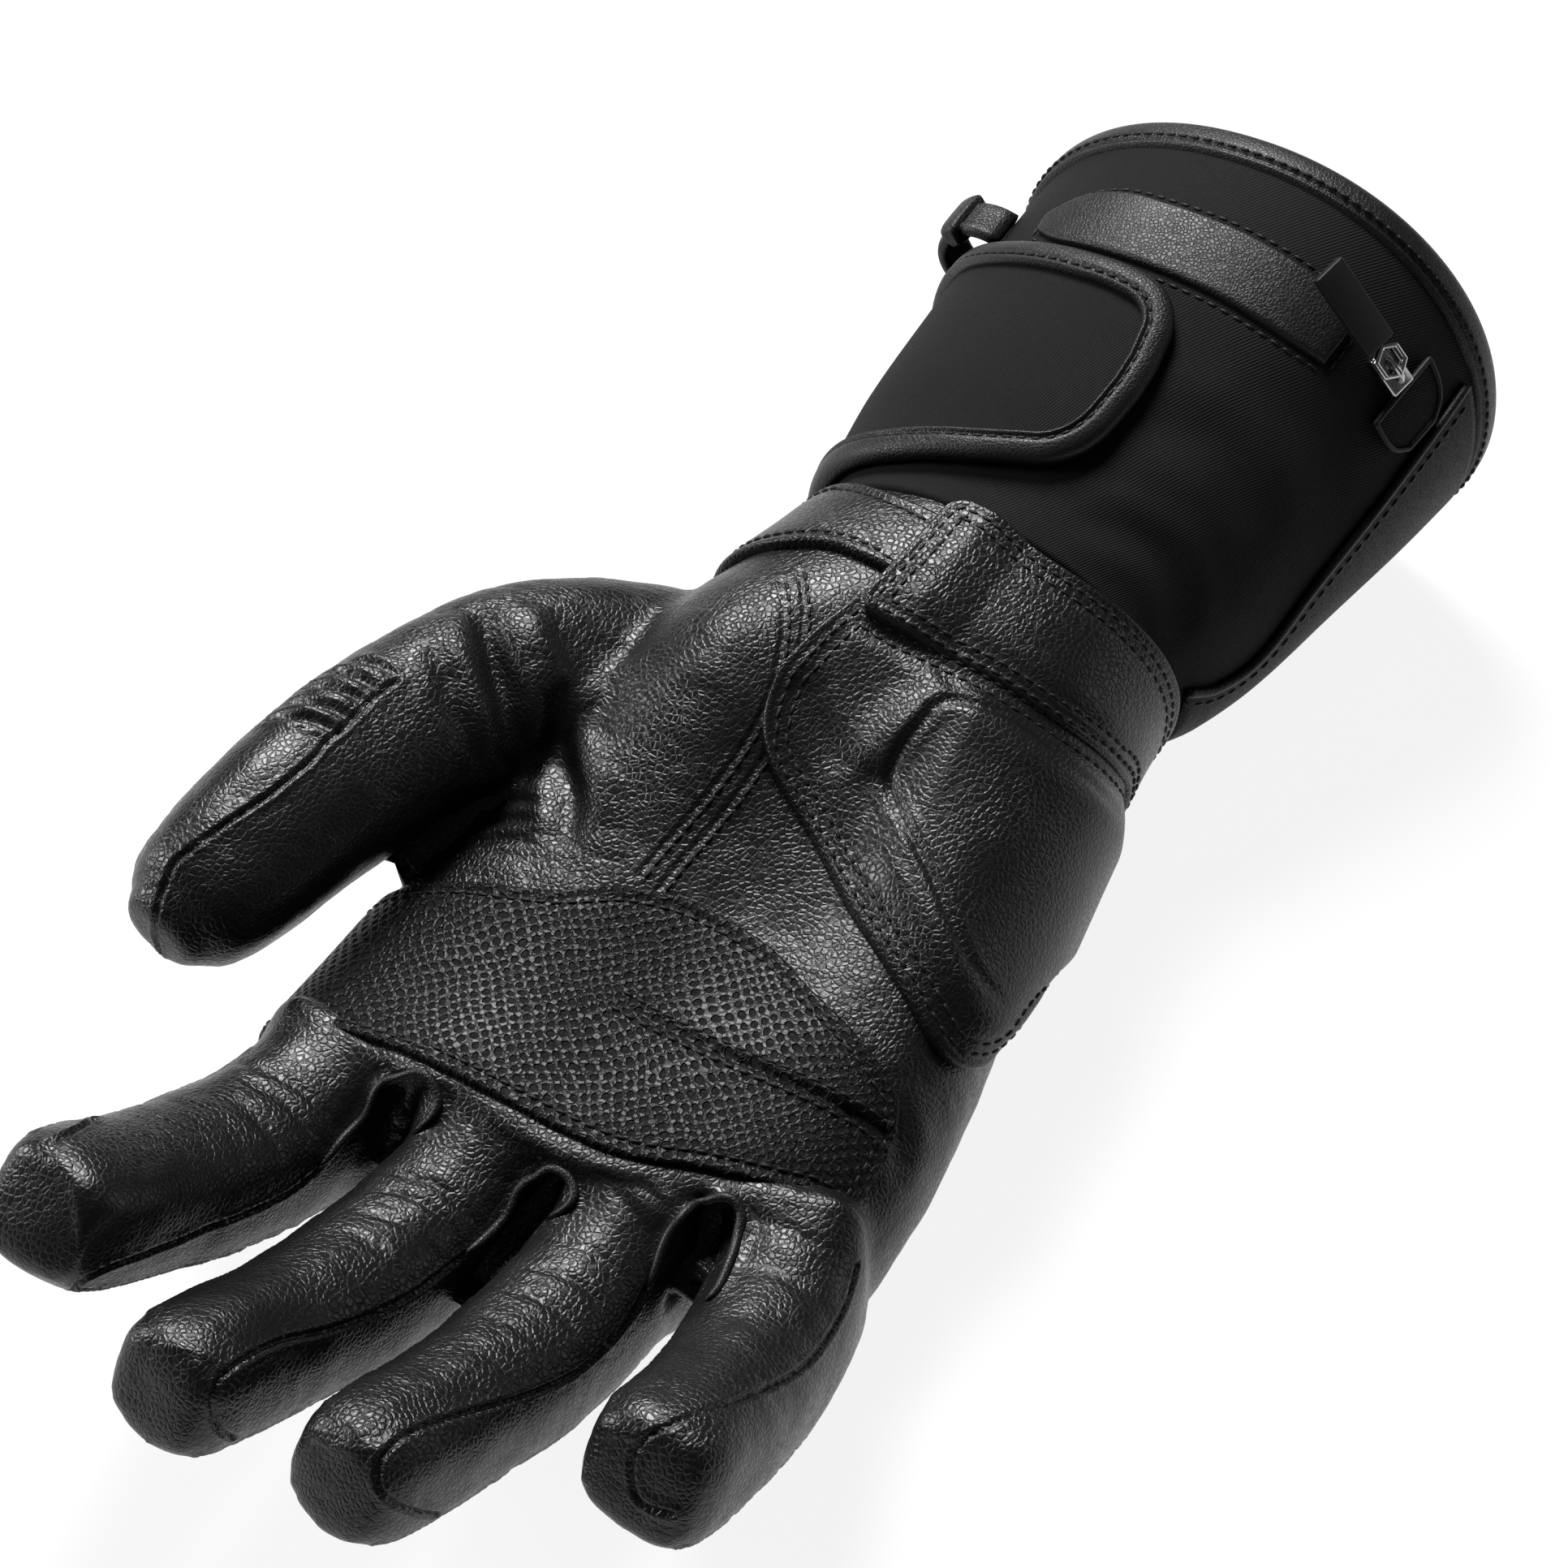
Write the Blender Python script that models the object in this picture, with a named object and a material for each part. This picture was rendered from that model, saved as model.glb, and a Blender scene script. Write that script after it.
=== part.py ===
"""Heated riding glove, right hand, stuffed open and lying on its back with the palm up.

X points to the little finger, Y to the cuff and Z up. The glove rests on Z = 0. Everything is in metres.
"""
import math

import bmesh
import bpy
from mathutils import Matrix, Vector

# Clearance between pieces and thickness of the walls
GAP = 0.0003
LEATHER_WALL = 0.003
FABRIC_WALL = 0.0028

# The hand and the cuff, measured from the seam between them at the wrist
HAND_LENGTH = 0.152
CUFF_LENGTH = 0.087
PALM_WIDTH = 0.120
PALM_THICKNESS = 0.044
WRIST_WIDTH = 0.081
WRIST_THICKNESS = 0.062
RIM_WIDTH = 0.106
RIM_HEIGHT = 0.092
PALM_SIDES = 40

# The fingers and the thumb
FINGER_LENGTH = 0.087
FINGER_WIDTH = 0.0285
FINGER_THICKNESS = 0.027
FINGER_SIDES = 18
THUMB_WIDTH = 0.036
THUMB_THICKNESS = 0.033

# Clearance under a piece that lies on a curved and faceted surface
LAY = 0.0006

# Leather laid on the hand: grip patch, wrist band, closure strap and padded heel guard
PATCH_THICKNESS = 0.0012
SLIT_WIDTH = 0.0012
BAND_THICKNESS = 0.0016
STRAP_THICKNESS = 0.0024
GUARD_THICKNESS = 0.0022
PAD_HEIGHT = 0.0032
PAD_MARGIN = 0.011
PAD_SLOPE = 0.006

# Pieces on the cuff
BINDING_WIDTH = 0.0085
BINDING_BULGE = 0.0014
BINDING_SQUARENESS = 2.6
PANEL_THICKNESS = 0.0012
ZIP_STRIP_THICKNESS = 0.0010
FLAP_THICKNESS = 0.0024
FLAP_PIPING_RADIUS = 0.0024

# Zip slider with its ring, pull tab and end patch
SLIDER_LENGTH = 0.009
SLIDER_WIDTH = 0.006
SLIDER_HEIGHT = 0.0028
SLIDER_CLEARANCE = 0.0015
BRIDGE_WIDTH = 0.0022
RING_RADIUS = 0.0034
RING_WIRE = 0.0007
TAB_LENGTH = 0.019
TAB_WIDTH = 0.0075
TAB_THICKNESS = 0.0016
GARAGE_THICKNESS = 0.0010

# Pull loop at the rim and its keeper
LOOP_WIDTH = 0.0095
LOOP_THICKNESS = 0.0024
LOOP_RISE = 0.0095
LOOP_SQUARENESS = 2.5
LOOP_FILL = 0.6
KEEPER_THICKNESS = 0.0016
STRIP_SQUARENESS = 5.0

# Rings along the palm and the cuff, and the edge angle up to which a surface is smooth
PALM_RINGS = 10
CUFF_RINGS = 6
BINDING_SIDES = 8
STRIP_SIDES = 8
STRAP_RAMP = 10.0
SMOOTH_ANGLE = 50.0

# Height of the finger roots in shares of PALM_THICKNESS, and turn of the thumb on its own axis
ROOT_HEIGHT = 0.49
THUMB_ROLL = 25.0

# How gently the palm's swellings fade towards the sides of the hand
SWELL_FADE = 0.5

# Step between two places that give a direction on the body, round it and along it
STEP_ROUND = math.radians(1.0)
STEP_ALONG = 0.0003

# Colour, roughness and metallic value of each finish
FINISHES = {
    "leather": ((0.012, 0.012, 0.013), 0.42, 0.0),
    "fabric": ((0.010, 0.010, 0.011), 0.85, 0.0),
    "rubber": ((0.014, 0.014, 0.015), 0.60, 0.0),
    "metal": ((0.20, 0.20, 0.21), 0.32, 1.0),
}

COLLECTION = "heated_glove"

# Sections of the hand from the wrist seam to the knuckles.
# Columns: share of HAND_LENGTH, fullness in width and in thickness (0 wrist, 1 palm),
# middle in shares of PALM_WIDTH, lift off the floor in shares of PALM_THICKNESS, squareness,
# roll in degrees that raises the little-finger side
HAND = (
    (0.00, 0.00, 0.00, -0.034, 0.10, 2.2, 1.0),
    (0.17, 0.22, 0.10, -0.046, 0.07, 2.2, 0.0),
    (0.31, 0.50, 0.36, -0.066, 0.02, 2.3, -1.0),
    (0.47, 0.74, 0.62, -0.070, -0.03, 2.4, -1.0),
    (0.67, 0.94, 0.82, -0.048, -0.04, 2.5, -1.0),
    (0.87, 1.01, 0.96, -0.038, -0.04, 2.6, -1.0),
    (1.05, 1.01, 1.08, -0.036, 0.01, 2.6, -1.0),
    (1.20, 0.99, 1.20, -0.036, 0.02, 2.6, -1.0),
)

# Sections of the cuff from the wrist seam to the rim.
# Columns: share of CUFF_LENGTH, fullness in width and in height (0 wrist, 1 rim),
# middle in shares of RIM_WIDTH, lift off the floor in shares of RIM_HEIGHT, squareness,
# roll in degrees that raises the little-finger side
CUFF = (
    (0.00, 0.00, 0.00, -0.034, 0.050, 2.2, 1.0),
    (0.14, 0.26, 0.22, -0.023, 0.012, 2.2, 2.0),
    (0.30, 0.50, 0.48, -0.012, -0.015, 2.2, 4.0),
    (0.55, 0.74, 0.72, 0.005, -0.020, 2.1, 6.0),
    (0.80, 0.92, 0.92, 0.023, -0.020, 2.1, 8.0),
    (1.00, 1.00, 1.04, 0.036, -0.020, 2.1, 9.0),
)

# Swellings and hollows of the palm.
# Columns: across in shares of PALM_WIDTH, along in shares of HAND_LENGTH from the wrist seam,
# height in shares of PALM_THICKNESS, reach across and along in the same shares
PALM_FORMS = (
    (-0.30, 0.36, 0.26, 0.20, 0.20),
    (0.32, 0.50, 0.10, 0.16, 0.22),
    (0.02, 0.66, -0.10, 0.22, 0.20),
)

# The line of the knuckles, where the fingers leave the palm.
# Columns: across in shares of PALM_WIDTH, along in shares of HAND_LENGTH from the wrist seam
KNUCKLES = (
    (-0.58, 1.05),
    (-0.24, 1.00),
    (0.03, 1.005),
    (0.25, 0.935),
    (0.48, 0.86),
)

# Fingers. Columns: name, side edges of the root in shares of PALM_WIDTH, length in shares of
# FINGER_LENGTH, width in shares of FINGER_WIDTH, sideways turn at the root and added to the tip
# in degrees, upward turn at the root and added to the tip in degrees
FINGERS = (
    ("index_finger", -0.534, -0.257, 0.91, 1.06, -5.0, 0.0, 13.0, 34.0),
    ("middle_finger", -0.254, 0.012, 1.00, 1.03, 0.0, -8.0, 6.0, 28.0),
    ("ring_finger", 0.015, 0.240, 0.97, 1.03, 6.0, -14.0, 5.0, 26.0),
    ("little_finger", 0.243, 0.464, 0.80, 1.03, 21.0, -21.0, 9.0, 26.0),
)

# Sections along a finger.
# Columns: share of its length, width share, thickness share, squareness
FINGER_SECTIONS = (
    (0.00, 1.00, 1.46, 4.5),
    (0.10, 1.00, 1.28, 2.8),
    (0.25, 1.00, 1.10, 2.7),
    (0.45, 0.99, 1.02, 2.8),
    (0.70, 0.97, 1.00, 2.8),
    (0.86, 0.94, 0.96, 2.8),
    (0.95, 0.82, 0.82, 2.7),
    (0.99, 0.58, 0.58, 2.5),
)

# Sections along the thumb.
# Columns: across in shares of PALM_WIDTH, along in shares of HAND_LENGTH from the wrist seam,
# height in shares of PALM_THICKNESS, width share, thickness share, squareness
THUMB = (
    (-0.270, 0.250, 0.62, 0.86, 0.96, 2.2),
    (-0.420, 0.316, 0.78, 1.00, 1.10, 2.2),
    (-0.550, 0.442, 0.96, 1.06, 1.06, 2.4),
    (-0.630, 0.612, 1.06, 1.00, 1.00, 2.5),
    (-0.665, 0.772, 1.10, 0.94, 0.94, 2.6),
    (-0.683, 0.912, 1.10, 0.86, 0.88, 2.6),
    (-0.691, 0.982, 1.10, 0.74, 0.74, 2.5),
    (-0.695, 1.022, 1.10, 0.48, 0.46, 2.4),
)

# Edges of the pieces laid on the tube of the hand and cuff. Angles go round the tube in degrees:
# 0 is the little-finger side, 90 the palm, 180 the thumb side and -90 the back.
# Columns on the hand: angle, fingerward edge and cuffward edge in shares of HAND_LENGTH
PALM_PATCH = (
    (32.0, 0.850, 0.790),
    (36.0, 0.860, 0.715),
    (44.0, 0.865, 0.690),
    (56.0, 0.890, 0.670),
    (70.0, 0.925, 0.645),
    (80.0, 0.960, 0.620),
    (90.0, 0.975, 0.618),
    (100.0, 0.980, 0.650),
    (112.0, 0.985, 0.705),
    (128.0, 0.995, 0.735),
    (150.0, 1.010, 0.765),
    (178.0, 1.020, 0.790),
)
PALM_SLIT = (
    (26.0, 0.752),
    (38.0, 0.748),
    (54.0, 0.758),
    (72.0, 0.772),
    (92.0, 0.785),
)
WRIST_BAND = (
    (87.0, 0.150, 0.040),
    (100.0, 0.148, 0.038),
    (116.0, 0.150, 0.030),
    (134.0, 0.170, 0.018),
    (152.0, 0.175, 0.018),
    (180.0, 0.172, 0.030),
    (206.0, 0.165, 0.040),
)
WRIST_STRAP = (
    (-58.0, 0.150, 0.004),
    (-30.0, 0.140, 0.000),
    (0.0, 0.136, -0.014),
    (16.0, 0.160, -0.008),
    (45.0, 0.196, 0.010),
    (70.0, 0.210, 0.022),
    (88.0, 0.222, 0.014),
    (94.0, 0.222, 0.018),
    (96.5, 0.205, 0.034),
)
HEEL_GUARD = (
    (-34.0, 0.330),
    (-18.0, 0.365),
    (-4.0, 0.410),
    (5.0, 0.470),
    (12.0, 0.560),
    (20.0, 0.600),
    (30.0, 0.620),
    (42.0, 0.610),
    (66.0, 0.546),
    (84.0, 0.470),
    (90.0, 0.445),
    (96.0, 0.400),
    (99.0, 0.340),
)
PAD_ANGLES = (-16.0, 76.0)

# The cuff's side panel runs from an angle on the back to its seam.
# Columns of the seam: share of CUFF_LENGTH, angle
SIDE_PANEL_BACK = -50.0
SIDE_PANEL_SEAM = (
    (0.06, 0.0),
    (0.14, -5.0),
    (0.25, -7.0),
    (0.40, 0.0),
    (0.62, 5.0),
    (0.98, 11.0),
)

# Columns on the cuff: angle, wristward edge and rimward edge in shares of CUFF_LENGTH.
# The first rows of the flap are its round tip
ZIP_STRIP = (
    (46.0, 0.690, 0.815),
    (58.0, 0.672, 0.828),
    (76.0, 0.667, 0.830),
    (94.0, 0.670, 0.835),
    (108.0, 0.682, 0.845),
    (118.0, 0.700, 0.825),
    (125.0, 0.735, 0.785),
)
FLAP_TIP_ROWS = 3
CUFF_FLAP = (
    (79.0, 0.370, 0.440),
    (80.5, 0.270, 0.530),
    (85.0, 0.195, 0.590),
    (92.0, 0.150, 0.612),
    (104.0, 0.110, 0.622),
    (126.0, 0.072, 0.648),
    (152.0, 0.068, 0.705),
    (178.0, 0.068, 0.715),
    (200.0, 0.068, 0.715),
)
ZIP_GARAGE = (
    (13.0, 0.755, 0.845),
    (16.0, 0.720, 0.880),
    (20.0, 0.705, 0.895),
    (26.0, 0.700, 0.900),
)

# Slider's place along the cuff as a share of CUFF_LENGTH
SLIDER_ALONG = 0.795

# Feet of the pull loop: angle round the cuff and clearance from the flap's piping
LOOP_FEET = ((167.0, 0.0010), (144.0, 0.0032))

# Steps along the loop, and those of them that the keeper covers
LOOP_STEPS = 16
KEEPER_STEPS = (11, 14)


def smooth_between(stations, values, at):
    """Value at a station on a smooth curve through the given values."""
    last = len(stations) - 1
    low = max(i for i in range(last) if stations[i] <= at or i == 0)

    def slope(i):
        before, after = max(i - 1, 0), min(i + 1, last)
        return (values[after] - values[before]) / (stations[after] - stations[before])

    span = stations[low + 1] - stations[low]
    t = (at - stations[low]) / span
    rise = values[low + 1] - values[low]
    start, end = slope(low) * span, slope(low + 1) * span
    square, cube = 3 * rise - 2 * start - end, start + end - 2 * rise
    return values[low] + t * start + t ** 2 * square + t ** 3 * cube


def oval(angle, half_width, half_height, squareness):
    """Point on an oval whose corners fill out as its squareness rises above 2."""
    power = 2.0 / squareness
    c, s = math.cos(angle), math.sin(angle)
    return (
        half_width * math.copysign(abs(c) ** power, c),
        half_height * math.copysign(abs(s) ** power, s),
    )


class Body:
    """Outer surface of the hand and the cuff, a flattened tube along Y."""

    def __init__(self):
        rows = []
        for along, wide, thick, middle, lift, square, roll in reversed(HAND):
            rows.append((
                -along * HAND_LENGTH,
                WRIST_WIDTH + (PALM_WIDTH - WRIST_WIDTH) * wide,
                WRIST_THICKNESS + (PALM_THICKNESS - WRIST_THICKNESS) * thick,
                middle * PALM_WIDTH,
                lift * PALM_THICKNESS,
                square,
                math.radians(roll),
            ))
        for along, wide, high, middle, lift, square, roll in CUFF[1:]:
            rows.append((
                along * CUFF_LENGTH,
                WRIST_WIDTH + (RIM_WIDTH - WRIST_WIDTH) * wide,
                WRIST_THICKNESS + (RIM_HEIGHT - WRIST_THICKNESS) * high,
                middle * RIM_WIDTH,
                lift * RIM_HEIGHT,
                square,
                math.radians(roll),
            ))
        self.stations, *self.columns = [list(column) for column in zip(*rows)]

    def point(self, along, angle, grow=0.0):
        """Point at a distance along Y and an angle round the tube, moved outward by grow."""
        width, height, middle, lift, square, roll = (
            smooth_between(self.stations, column, along) for column in self.columns
        )
        a, b = oval(angle, width / 2 + grow, height / 2 + grow, square)
        x = middle + a * math.cos(roll) - b * math.sin(roll)
        z = lift + height / 2 + a * math.sin(roll) + b * math.cos(roll)
        z += max(math.sin(angle), 0.0) ** SWELL_FADE * palm_swell(x, along)
        return Vector((x, along, max(z, -grow)))


def palm_swell(x, along):
    """Height that the swellings and hollows add to the palm at a place."""
    total = 0.0
    for across, down, height, reach_across, reach_along in PALM_FORMS:
        u = (x - across * PALM_WIDTH) / (reach_across * PALM_WIDTH)
        v = (along + down * HAND_LENGTH) / (reach_along * HAND_LENGTH)
        total += height * PALM_THICKNESS * math.exp(-u * u - v * v)
    return total


def knuckle_line(x):
    """Place along Y of the knuckles at a place across the palm."""
    across, down = zip(*KNUCKLES)
    return -HAND_LENGTH * smooth_between(across, down, x / PALM_WIDTH)


class Digit:
    """Outer surface of a finger or the thumb: oval sections along a curved path."""

    def __init__(self, centres, sides, sections):
        self.centres = centres
        self.sides = sides
        self.sections = sections

    def ring(self, index, count, grow=0.0):
        """Points round one section, moved outward by grow."""
        last = len(self.centres) - 1
        before, after = self.centres[max(index - 1, 0)], self.centres[min(index + 1, last)]
        heading = (after - before).normalized()
        side = (self.sides[index] - heading * self.sides[index].dot(heading)).normalized()
        up = heading.cross(side)
        centre = self.centres[index]
        if index == last:
            centre = centre + heading * grow
        width, thickness, square = self.sections[index]
        points = []
        for step in range(count):
            a, b = oval(2 * math.pi * step / count, width / 2 + grow, thickness / 2 + grow, square)
            points.append(centre + side * a + up * b)
        return points


def finger_surface(row):
    """Surface of one finger, whose path starts on the knuckle line and curls up to its tip."""
    _, left, right, length, width, yaw, yaw_added, pitch, pitch_added = row
    length *= FINGER_LENGTH
    root_x = (left + right) / 2 * PALM_WIDTH
    place = Vector((root_x, knuckle_line(root_x), ROOT_HEIGHT * PALM_THICKNESS))
    centres, sides, sections = [], [], []
    reached = 0.0
    for share, wide, thick, square in FINGER_SECTIONS:
        turn = math.radians(yaw + yaw_added * share)
        rise = math.radians(pitch + pitch_added * share)
        across = Vector((math.cos(turn), math.sin(turn), 0.0))
        ahead = Vector((math.sin(turn) * math.cos(rise), -math.cos(turn) * math.cos(rise), math.sin(rise)))
        place = place + ahead * (share - reached) * length
        reached = share
        centres.append(place)
        sides.append(across)
        full_width = (right - left) * PALM_WIDTH if share == 0.0 else wide * width * FINGER_WIDTH
        sections.append((full_width, thick * FINGER_THICKNESS, square))
    return Digit(centres, sides, sections)


def finger_rings(surface, grow=0.0):
    """Rings of one finger, the first of them laid on the knuckle line."""
    rings = [surface.ring(i, FINGER_SIDES, grow) for i in range(len(surface.centres))]
    for point in rings[0]:
        point.y = knuckle_line(point.x) - GAP
    return rings


def thumb_surface():
    """Surface of the thumb, from inside the palm to its tip."""
    centres, sides, sections = [], [], []
    for across, down, height, wide, thick, square in THUMB:
        centres.append(Vector((across * PALM_WIDTH, -down * HAND_LENGTH, height * PALM_THICKNESS)))
        sides.append(Matrix.Rotation(math.radians(THUMB_ROLL), 3, "Y") @ Vector((1.0, 0.0, 0.0)))
        sections.append((wide * THUMB_WIDTH, thick * THUMB_THICKNESS, square))
    return Digit(centres, sides, sections)


def palm_rings(body, grow=0.0):
    """Rings of the hand from the wrist seam to the knuckle line."""
    rings = []
    for step in range(PALM_RINGS + 1):
        share = step / PALM_RINGS
        ring = []
        for side in range(PALM_SIDES):
            angle = 2 * math.pi * side / PALM_SIDES
            x = body.point(-share * HAND_LENGTH, angle, grow).x
            ring.append(body.point(share * knuckle_line(x) - GAP * (1.0 - share), angle, grow))
        rings.append(ring)
    return rings


def cuff_rings(body, grow=0.0):
    """Rings of the cuff from the wrist seam to the rim."""
    return [
        [
            body.point(step / CUFF_RINGS * CUFF_LENGTH, 2 * math.pi * side / PALM_SIDES, grow)
            for side in range(PALM_SIDES)
        ]
        for step in range(CUFF_RINGS + 1)
    ]


def bridge(bm, first, second):
    """Faces between two rings of vertices."""
    count = len(first)
    for i in range(count):
        j = (i + 1) % count
        bm.faces.new((first[i], first[j], second[j], second[i]))


def tube_mesh(outer, inner=None, closed_end=True):
    """Tube through rings of points: solid, or hollow and open at its start or at both ends."""
    bm = bmesh.new()
    skin = [[bm.verts.new(point) for point in ring] for ring in outer]
    for first, second in zip(skin, skin[1:]):
        bridge(bm, first, second)
    if inner is None:
        bm.faces.new(skin[0])
        bm.faces.new(skin[-1])
    else:
        lining = [[bm.verts.new(point) for point in ring] for ring in inner]
        for first, second in zip(lining, lining[1:]):
            bridge(bm, first, second)
        bridge(bm, skin[0], lining[0])
        if closed_end:
            bm.faces.new(skin[-1])
            bm.faces.new(lining[-1])
        else:
            bridge(bm, skin[-1], lining[-1])
    bmesh.ops.recalc_face_normals(bm, faces=bm.faces)
    return bm


def new_material(name, finish):
    """Principled material of one finish."""
    colour, roughness, metallic = FINISHES[finish]
    material = bpy.data.materials.new(name)
    material.use_nodes = True
    shader = material.node_tree.nodes["Principled BSDF"]
    shader.inputs["Base Color"].default_value = (*colour, 1.0)
    shader.inputs["Roughness"].default_value = roughness
    shader.inputs["Metallic"].default_value = metallic
    return material


def add_object(name, bm, finish, collection):
    """Object from a bmesh, with its own material."""
    mesh = bpy.data.meshes.new(name)
    bm.to_mesh(mesh)
    bm.free()
    mesh.shade_smooth()
    mesh.set_sharp_from_angle(angle=math.radians(SMOOTH_ANGLE))
    part = bpy.data.objects.new(name, mesh)
    collection.objects.link(part)
    if finish is not None:
        mesh.materials.append(new_material(name, finish))
    return part


def take(part, name, finish, collection):
    """Name a primitive, move it to the collection and give it a material."""
    part.name = name
    for old in part.users_collection:
        old.objects.unlink(part)
    collection.objects.link(part)
    part.data.shade_smooth()
    part.data.materials.append(new_material(name, finish))


def join(part, bm, collection):
    """Unite a bmesh with the part."""
    tool = cutter("joined_to_" + part.name, bm, collection)
    modifier = part.modifiers.new("join", "BOOLEAN")
    modifier.operation = "UNION"
    modifier.solver = "EXACT"
    modifier.object = tool


def cutter(name, bm, collection):
    """Object that only cuts others."""
    tool = add_object(name, bm, None, collection)
    tool.hide_render = True
    tool.display_type = "WIRE"
    return tool


def cut(part, tool):
    """Take the tool's solid out of the part."""
    modifier = part.modifiers.new("cut_" + tool.name, "BOOLEAN")
    modifier.operation = "DIFFERENCE"
    modifier.solver = "EXACT"
    modifier.object = tool


def edge_at(table, column, angle):
    """Edge of a laid piece at an angle, read from its table."""
    return smooth_between([row[0] for row in table], [row[column] for row in table], angle)


def laid_mesh(body, angles, span, lift, thickness, rows):
    """Closed piece laid on the body between two edges.

    span(angle) gives its two edges along Y, lift(angle) its clearance and
    thickness(angle, along) its own thickness.
    """
    under, over = [], []
    for angle in angles:
        low, high = span(angle)
        under.append([])
        over.append([])
        for step in range(rows + 1):
            along = low + (high - low) * step / rows
            base = lift(angle)
            top = base + thickness(angle, along)
            under[-1].append(body.point(along, math.radians(angle), base))
            over[-1].append(body.point(along, math.radians(angle), top))
    return slab_mesh(under, over)


def slab_mesh(under, over):
    """Closed body between two grids of points."""
    bm = bmesh.new()
    low = [[bm.verts.new(point) for point in line] for line in under]
    high = [[bm.verts.new(point) for point in line] for line in over]
    for grid in (low, high):
        for first, second in zip(grid, grid[1:]):
            for i in range(len(first) - 1):
                bm.faces.new((first[i], first[i + 1], second[i + 1], second[i]))
    bridge(bm, rim_of(low), rim_of(high))
    bmesh.ops.recalc_face_normals(bm, faces=bm.faces)
    return bm


def rim_of(grid):
    """Vertices round the edge of a grid, in order."""
    first = grid[0]
    last = grid[-1][::-1]
    up = [line[-1] for line in grid[1:-1]]
    down = [line[0] for line in grid[-2:0:-1]]
    return first + up + last + down


def spread(start, end, steps):
    """Evenly spaced values from start to end."""
    return [start + (end - start) * step / steps for step in range(steps + 1)]


def hand_span(table):
    """Edges along Y of a piece whose table is in shares of HAND_LENGTH."""
    return lambda angle: (
        -edge_at(table, 1, angle) * HAND_LENGTH,
        -edge_at(table, 2, angle) * HAND_LENGTH,
    )


def cuff_span(table):
    """Edges along Y of a piece whose table is in shares of CUFF_LENGTH."""
    return lambda angle: (
        edge_at(table, 1, angle) * CUFF_LENGTH,
        edge_at(table, 2, angle) * CUFF_LENGTH,
    )


def strap_lift(angle):
    """Clearance under the strap, which rises over the end of the wrist band."""
    over_band = min(max((angle - WRIST_BAND[0][0] + STRAP_RAMP) / STRAP_RAMP, 0.0), 1.0)
    return LAY + over_band * (BAND_THICKNESS + LAY)


def guard_span(angle):
    """Edges of the heel guard, whose cuffward edge follows the strap."""
    strap_edge = -edge_at(WRIST_STRAP, 1, min(angle, WRIST_STRAP[-2][0])) * HAND_LENGTH
    return -edge_at(HEEL_GUARD, 1, angle) * HAND_LENGTH, strap_edge - 2 * GAP


def ramp(distance, reach):
    """Smooth rise from 0 to 1 over a reach."""
    t = min(max(distance / reach, 0.0), 1.0)
    return t * t * (3 - 2 * t)


def guard_thickness(angle, along):
    """Thickness of the heel guard, which is filled out where its pad lies."""
    low, high = guard_span(angle)
    first, last = PAD_ANGLES
    arc = math.radians(1.0) * PALM_WIDTH / 2
    inside = (
        ramp(along - low - PAD_MARGIN + PAD_SLOPE, PAD_SLOPE)
        * ramp(high - along, PAD_SLOPE)
        * ramp((angle - first) * arc, PAD_SLOPE)
        * ramp((last - angle) * arc, PAD_SLOPE)
    )
    return GUARD_THICKNESS + PAD_HEIGHT * inside


def lay(body, name, table, span, thickness, finish, collection, columns, rows):
    """Add a piece of even thickness laid on the body."""
    angles = spread(table[0][0], table[-1][0], columns)
    bm = laid_mesh(body, angles, span(table), lambda _: LAY, lambda *_: thickness, rows)
    return add_object(name, bm, finish, collection)


def build_hand(body, parts, cutters):
    """Palm, four fingers and thumb, hollow and open to each other."""
    palm = tube_mesh(palm_rings(body), palm_rings(body, -LEATHER_WALL), closed_end=False)
    palm = add_object("palm_shell", palm, "leather", parts)
    for row in FINGERS:
        surface = finger_surface(row)
        bm = tube_mesh(finger_rings(surface), finger_rings(surface, -LEATHER_WALL))
        add_object(row[0], bm, "leather", parts)
    surface = thumb_surface()
    sections = range(len(surface.centres))
    outer = [surface.ring(i, FINGER_SIDES) for i in sections]
    inner = [surface.ring(i, FINGER_SIDES, -LEATHER_WALL) for i in sections]
    thumb = add_object("thumb", tube_mesh(outer, inner), "leather", parts)
    cut(thumb, cutter("palm_outside", tube_mesh(palm_rings(body, GAP)), cutters))
    cut(palm, cutter("thumb_hollow", tube_mesh(inner), cutters))


def build_grip(body, parts, cutters):
    """Perforated grip patch below the fingers, split by a slit towards the little finger."""
    patch = lay(
        body, "palm_patch", PALM_PATCH, hand_span, PATCH_THICKNESS, "leather", parts, columns=22, rows=5
    )
    angles = spread(PALM_SLIT[0][0], PALM_SLIT[-1][0], steps=10)

    def slit_span(angle):
        middle = -edge_at(PALM_SLIT, 1, angle) * HAND_LENGTH
        return middle - SLIT_WIDTH / 2, middle + SLIT_WIDTH / 2

    bm = laid_mesh(body, angles, slit_span, lambda _: 0.0, lambda *_: LAY + 2 * PATCH_THICKNESS, rows=1)
    cut(patch, cutter("slit", bm, cutters))


def build_closure(body, parts):
    """Wrist band, strap over it and padded heel guard."""
    lay(body, "wrist_band", WRIST_BAND, hand_span, BAND_THICKNESS, "leather", parts, columns=14, rows=3)
    angles = spread(WRIST_STRAP[0][0], WRIST_STRAP[-1][0], steps=20)
    bm = laid_mesh(body, angles, hand_span(WRIST_STRAP), strap_lift, lambda *_: STRAP_THICKNESS, rows=4)
    add_object("wrist_strap", bm, "leather", parts)
    angles = spread(HEEL_GUARD[0][0], HEEL_GUARD[-1][0], steps=20)
    bm = laid_mesh(body, angles, guard_span, lambda _: LAY, guard_thickness, rows=10)
    add_object("heel_guard", bm, "leather", parts)


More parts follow.
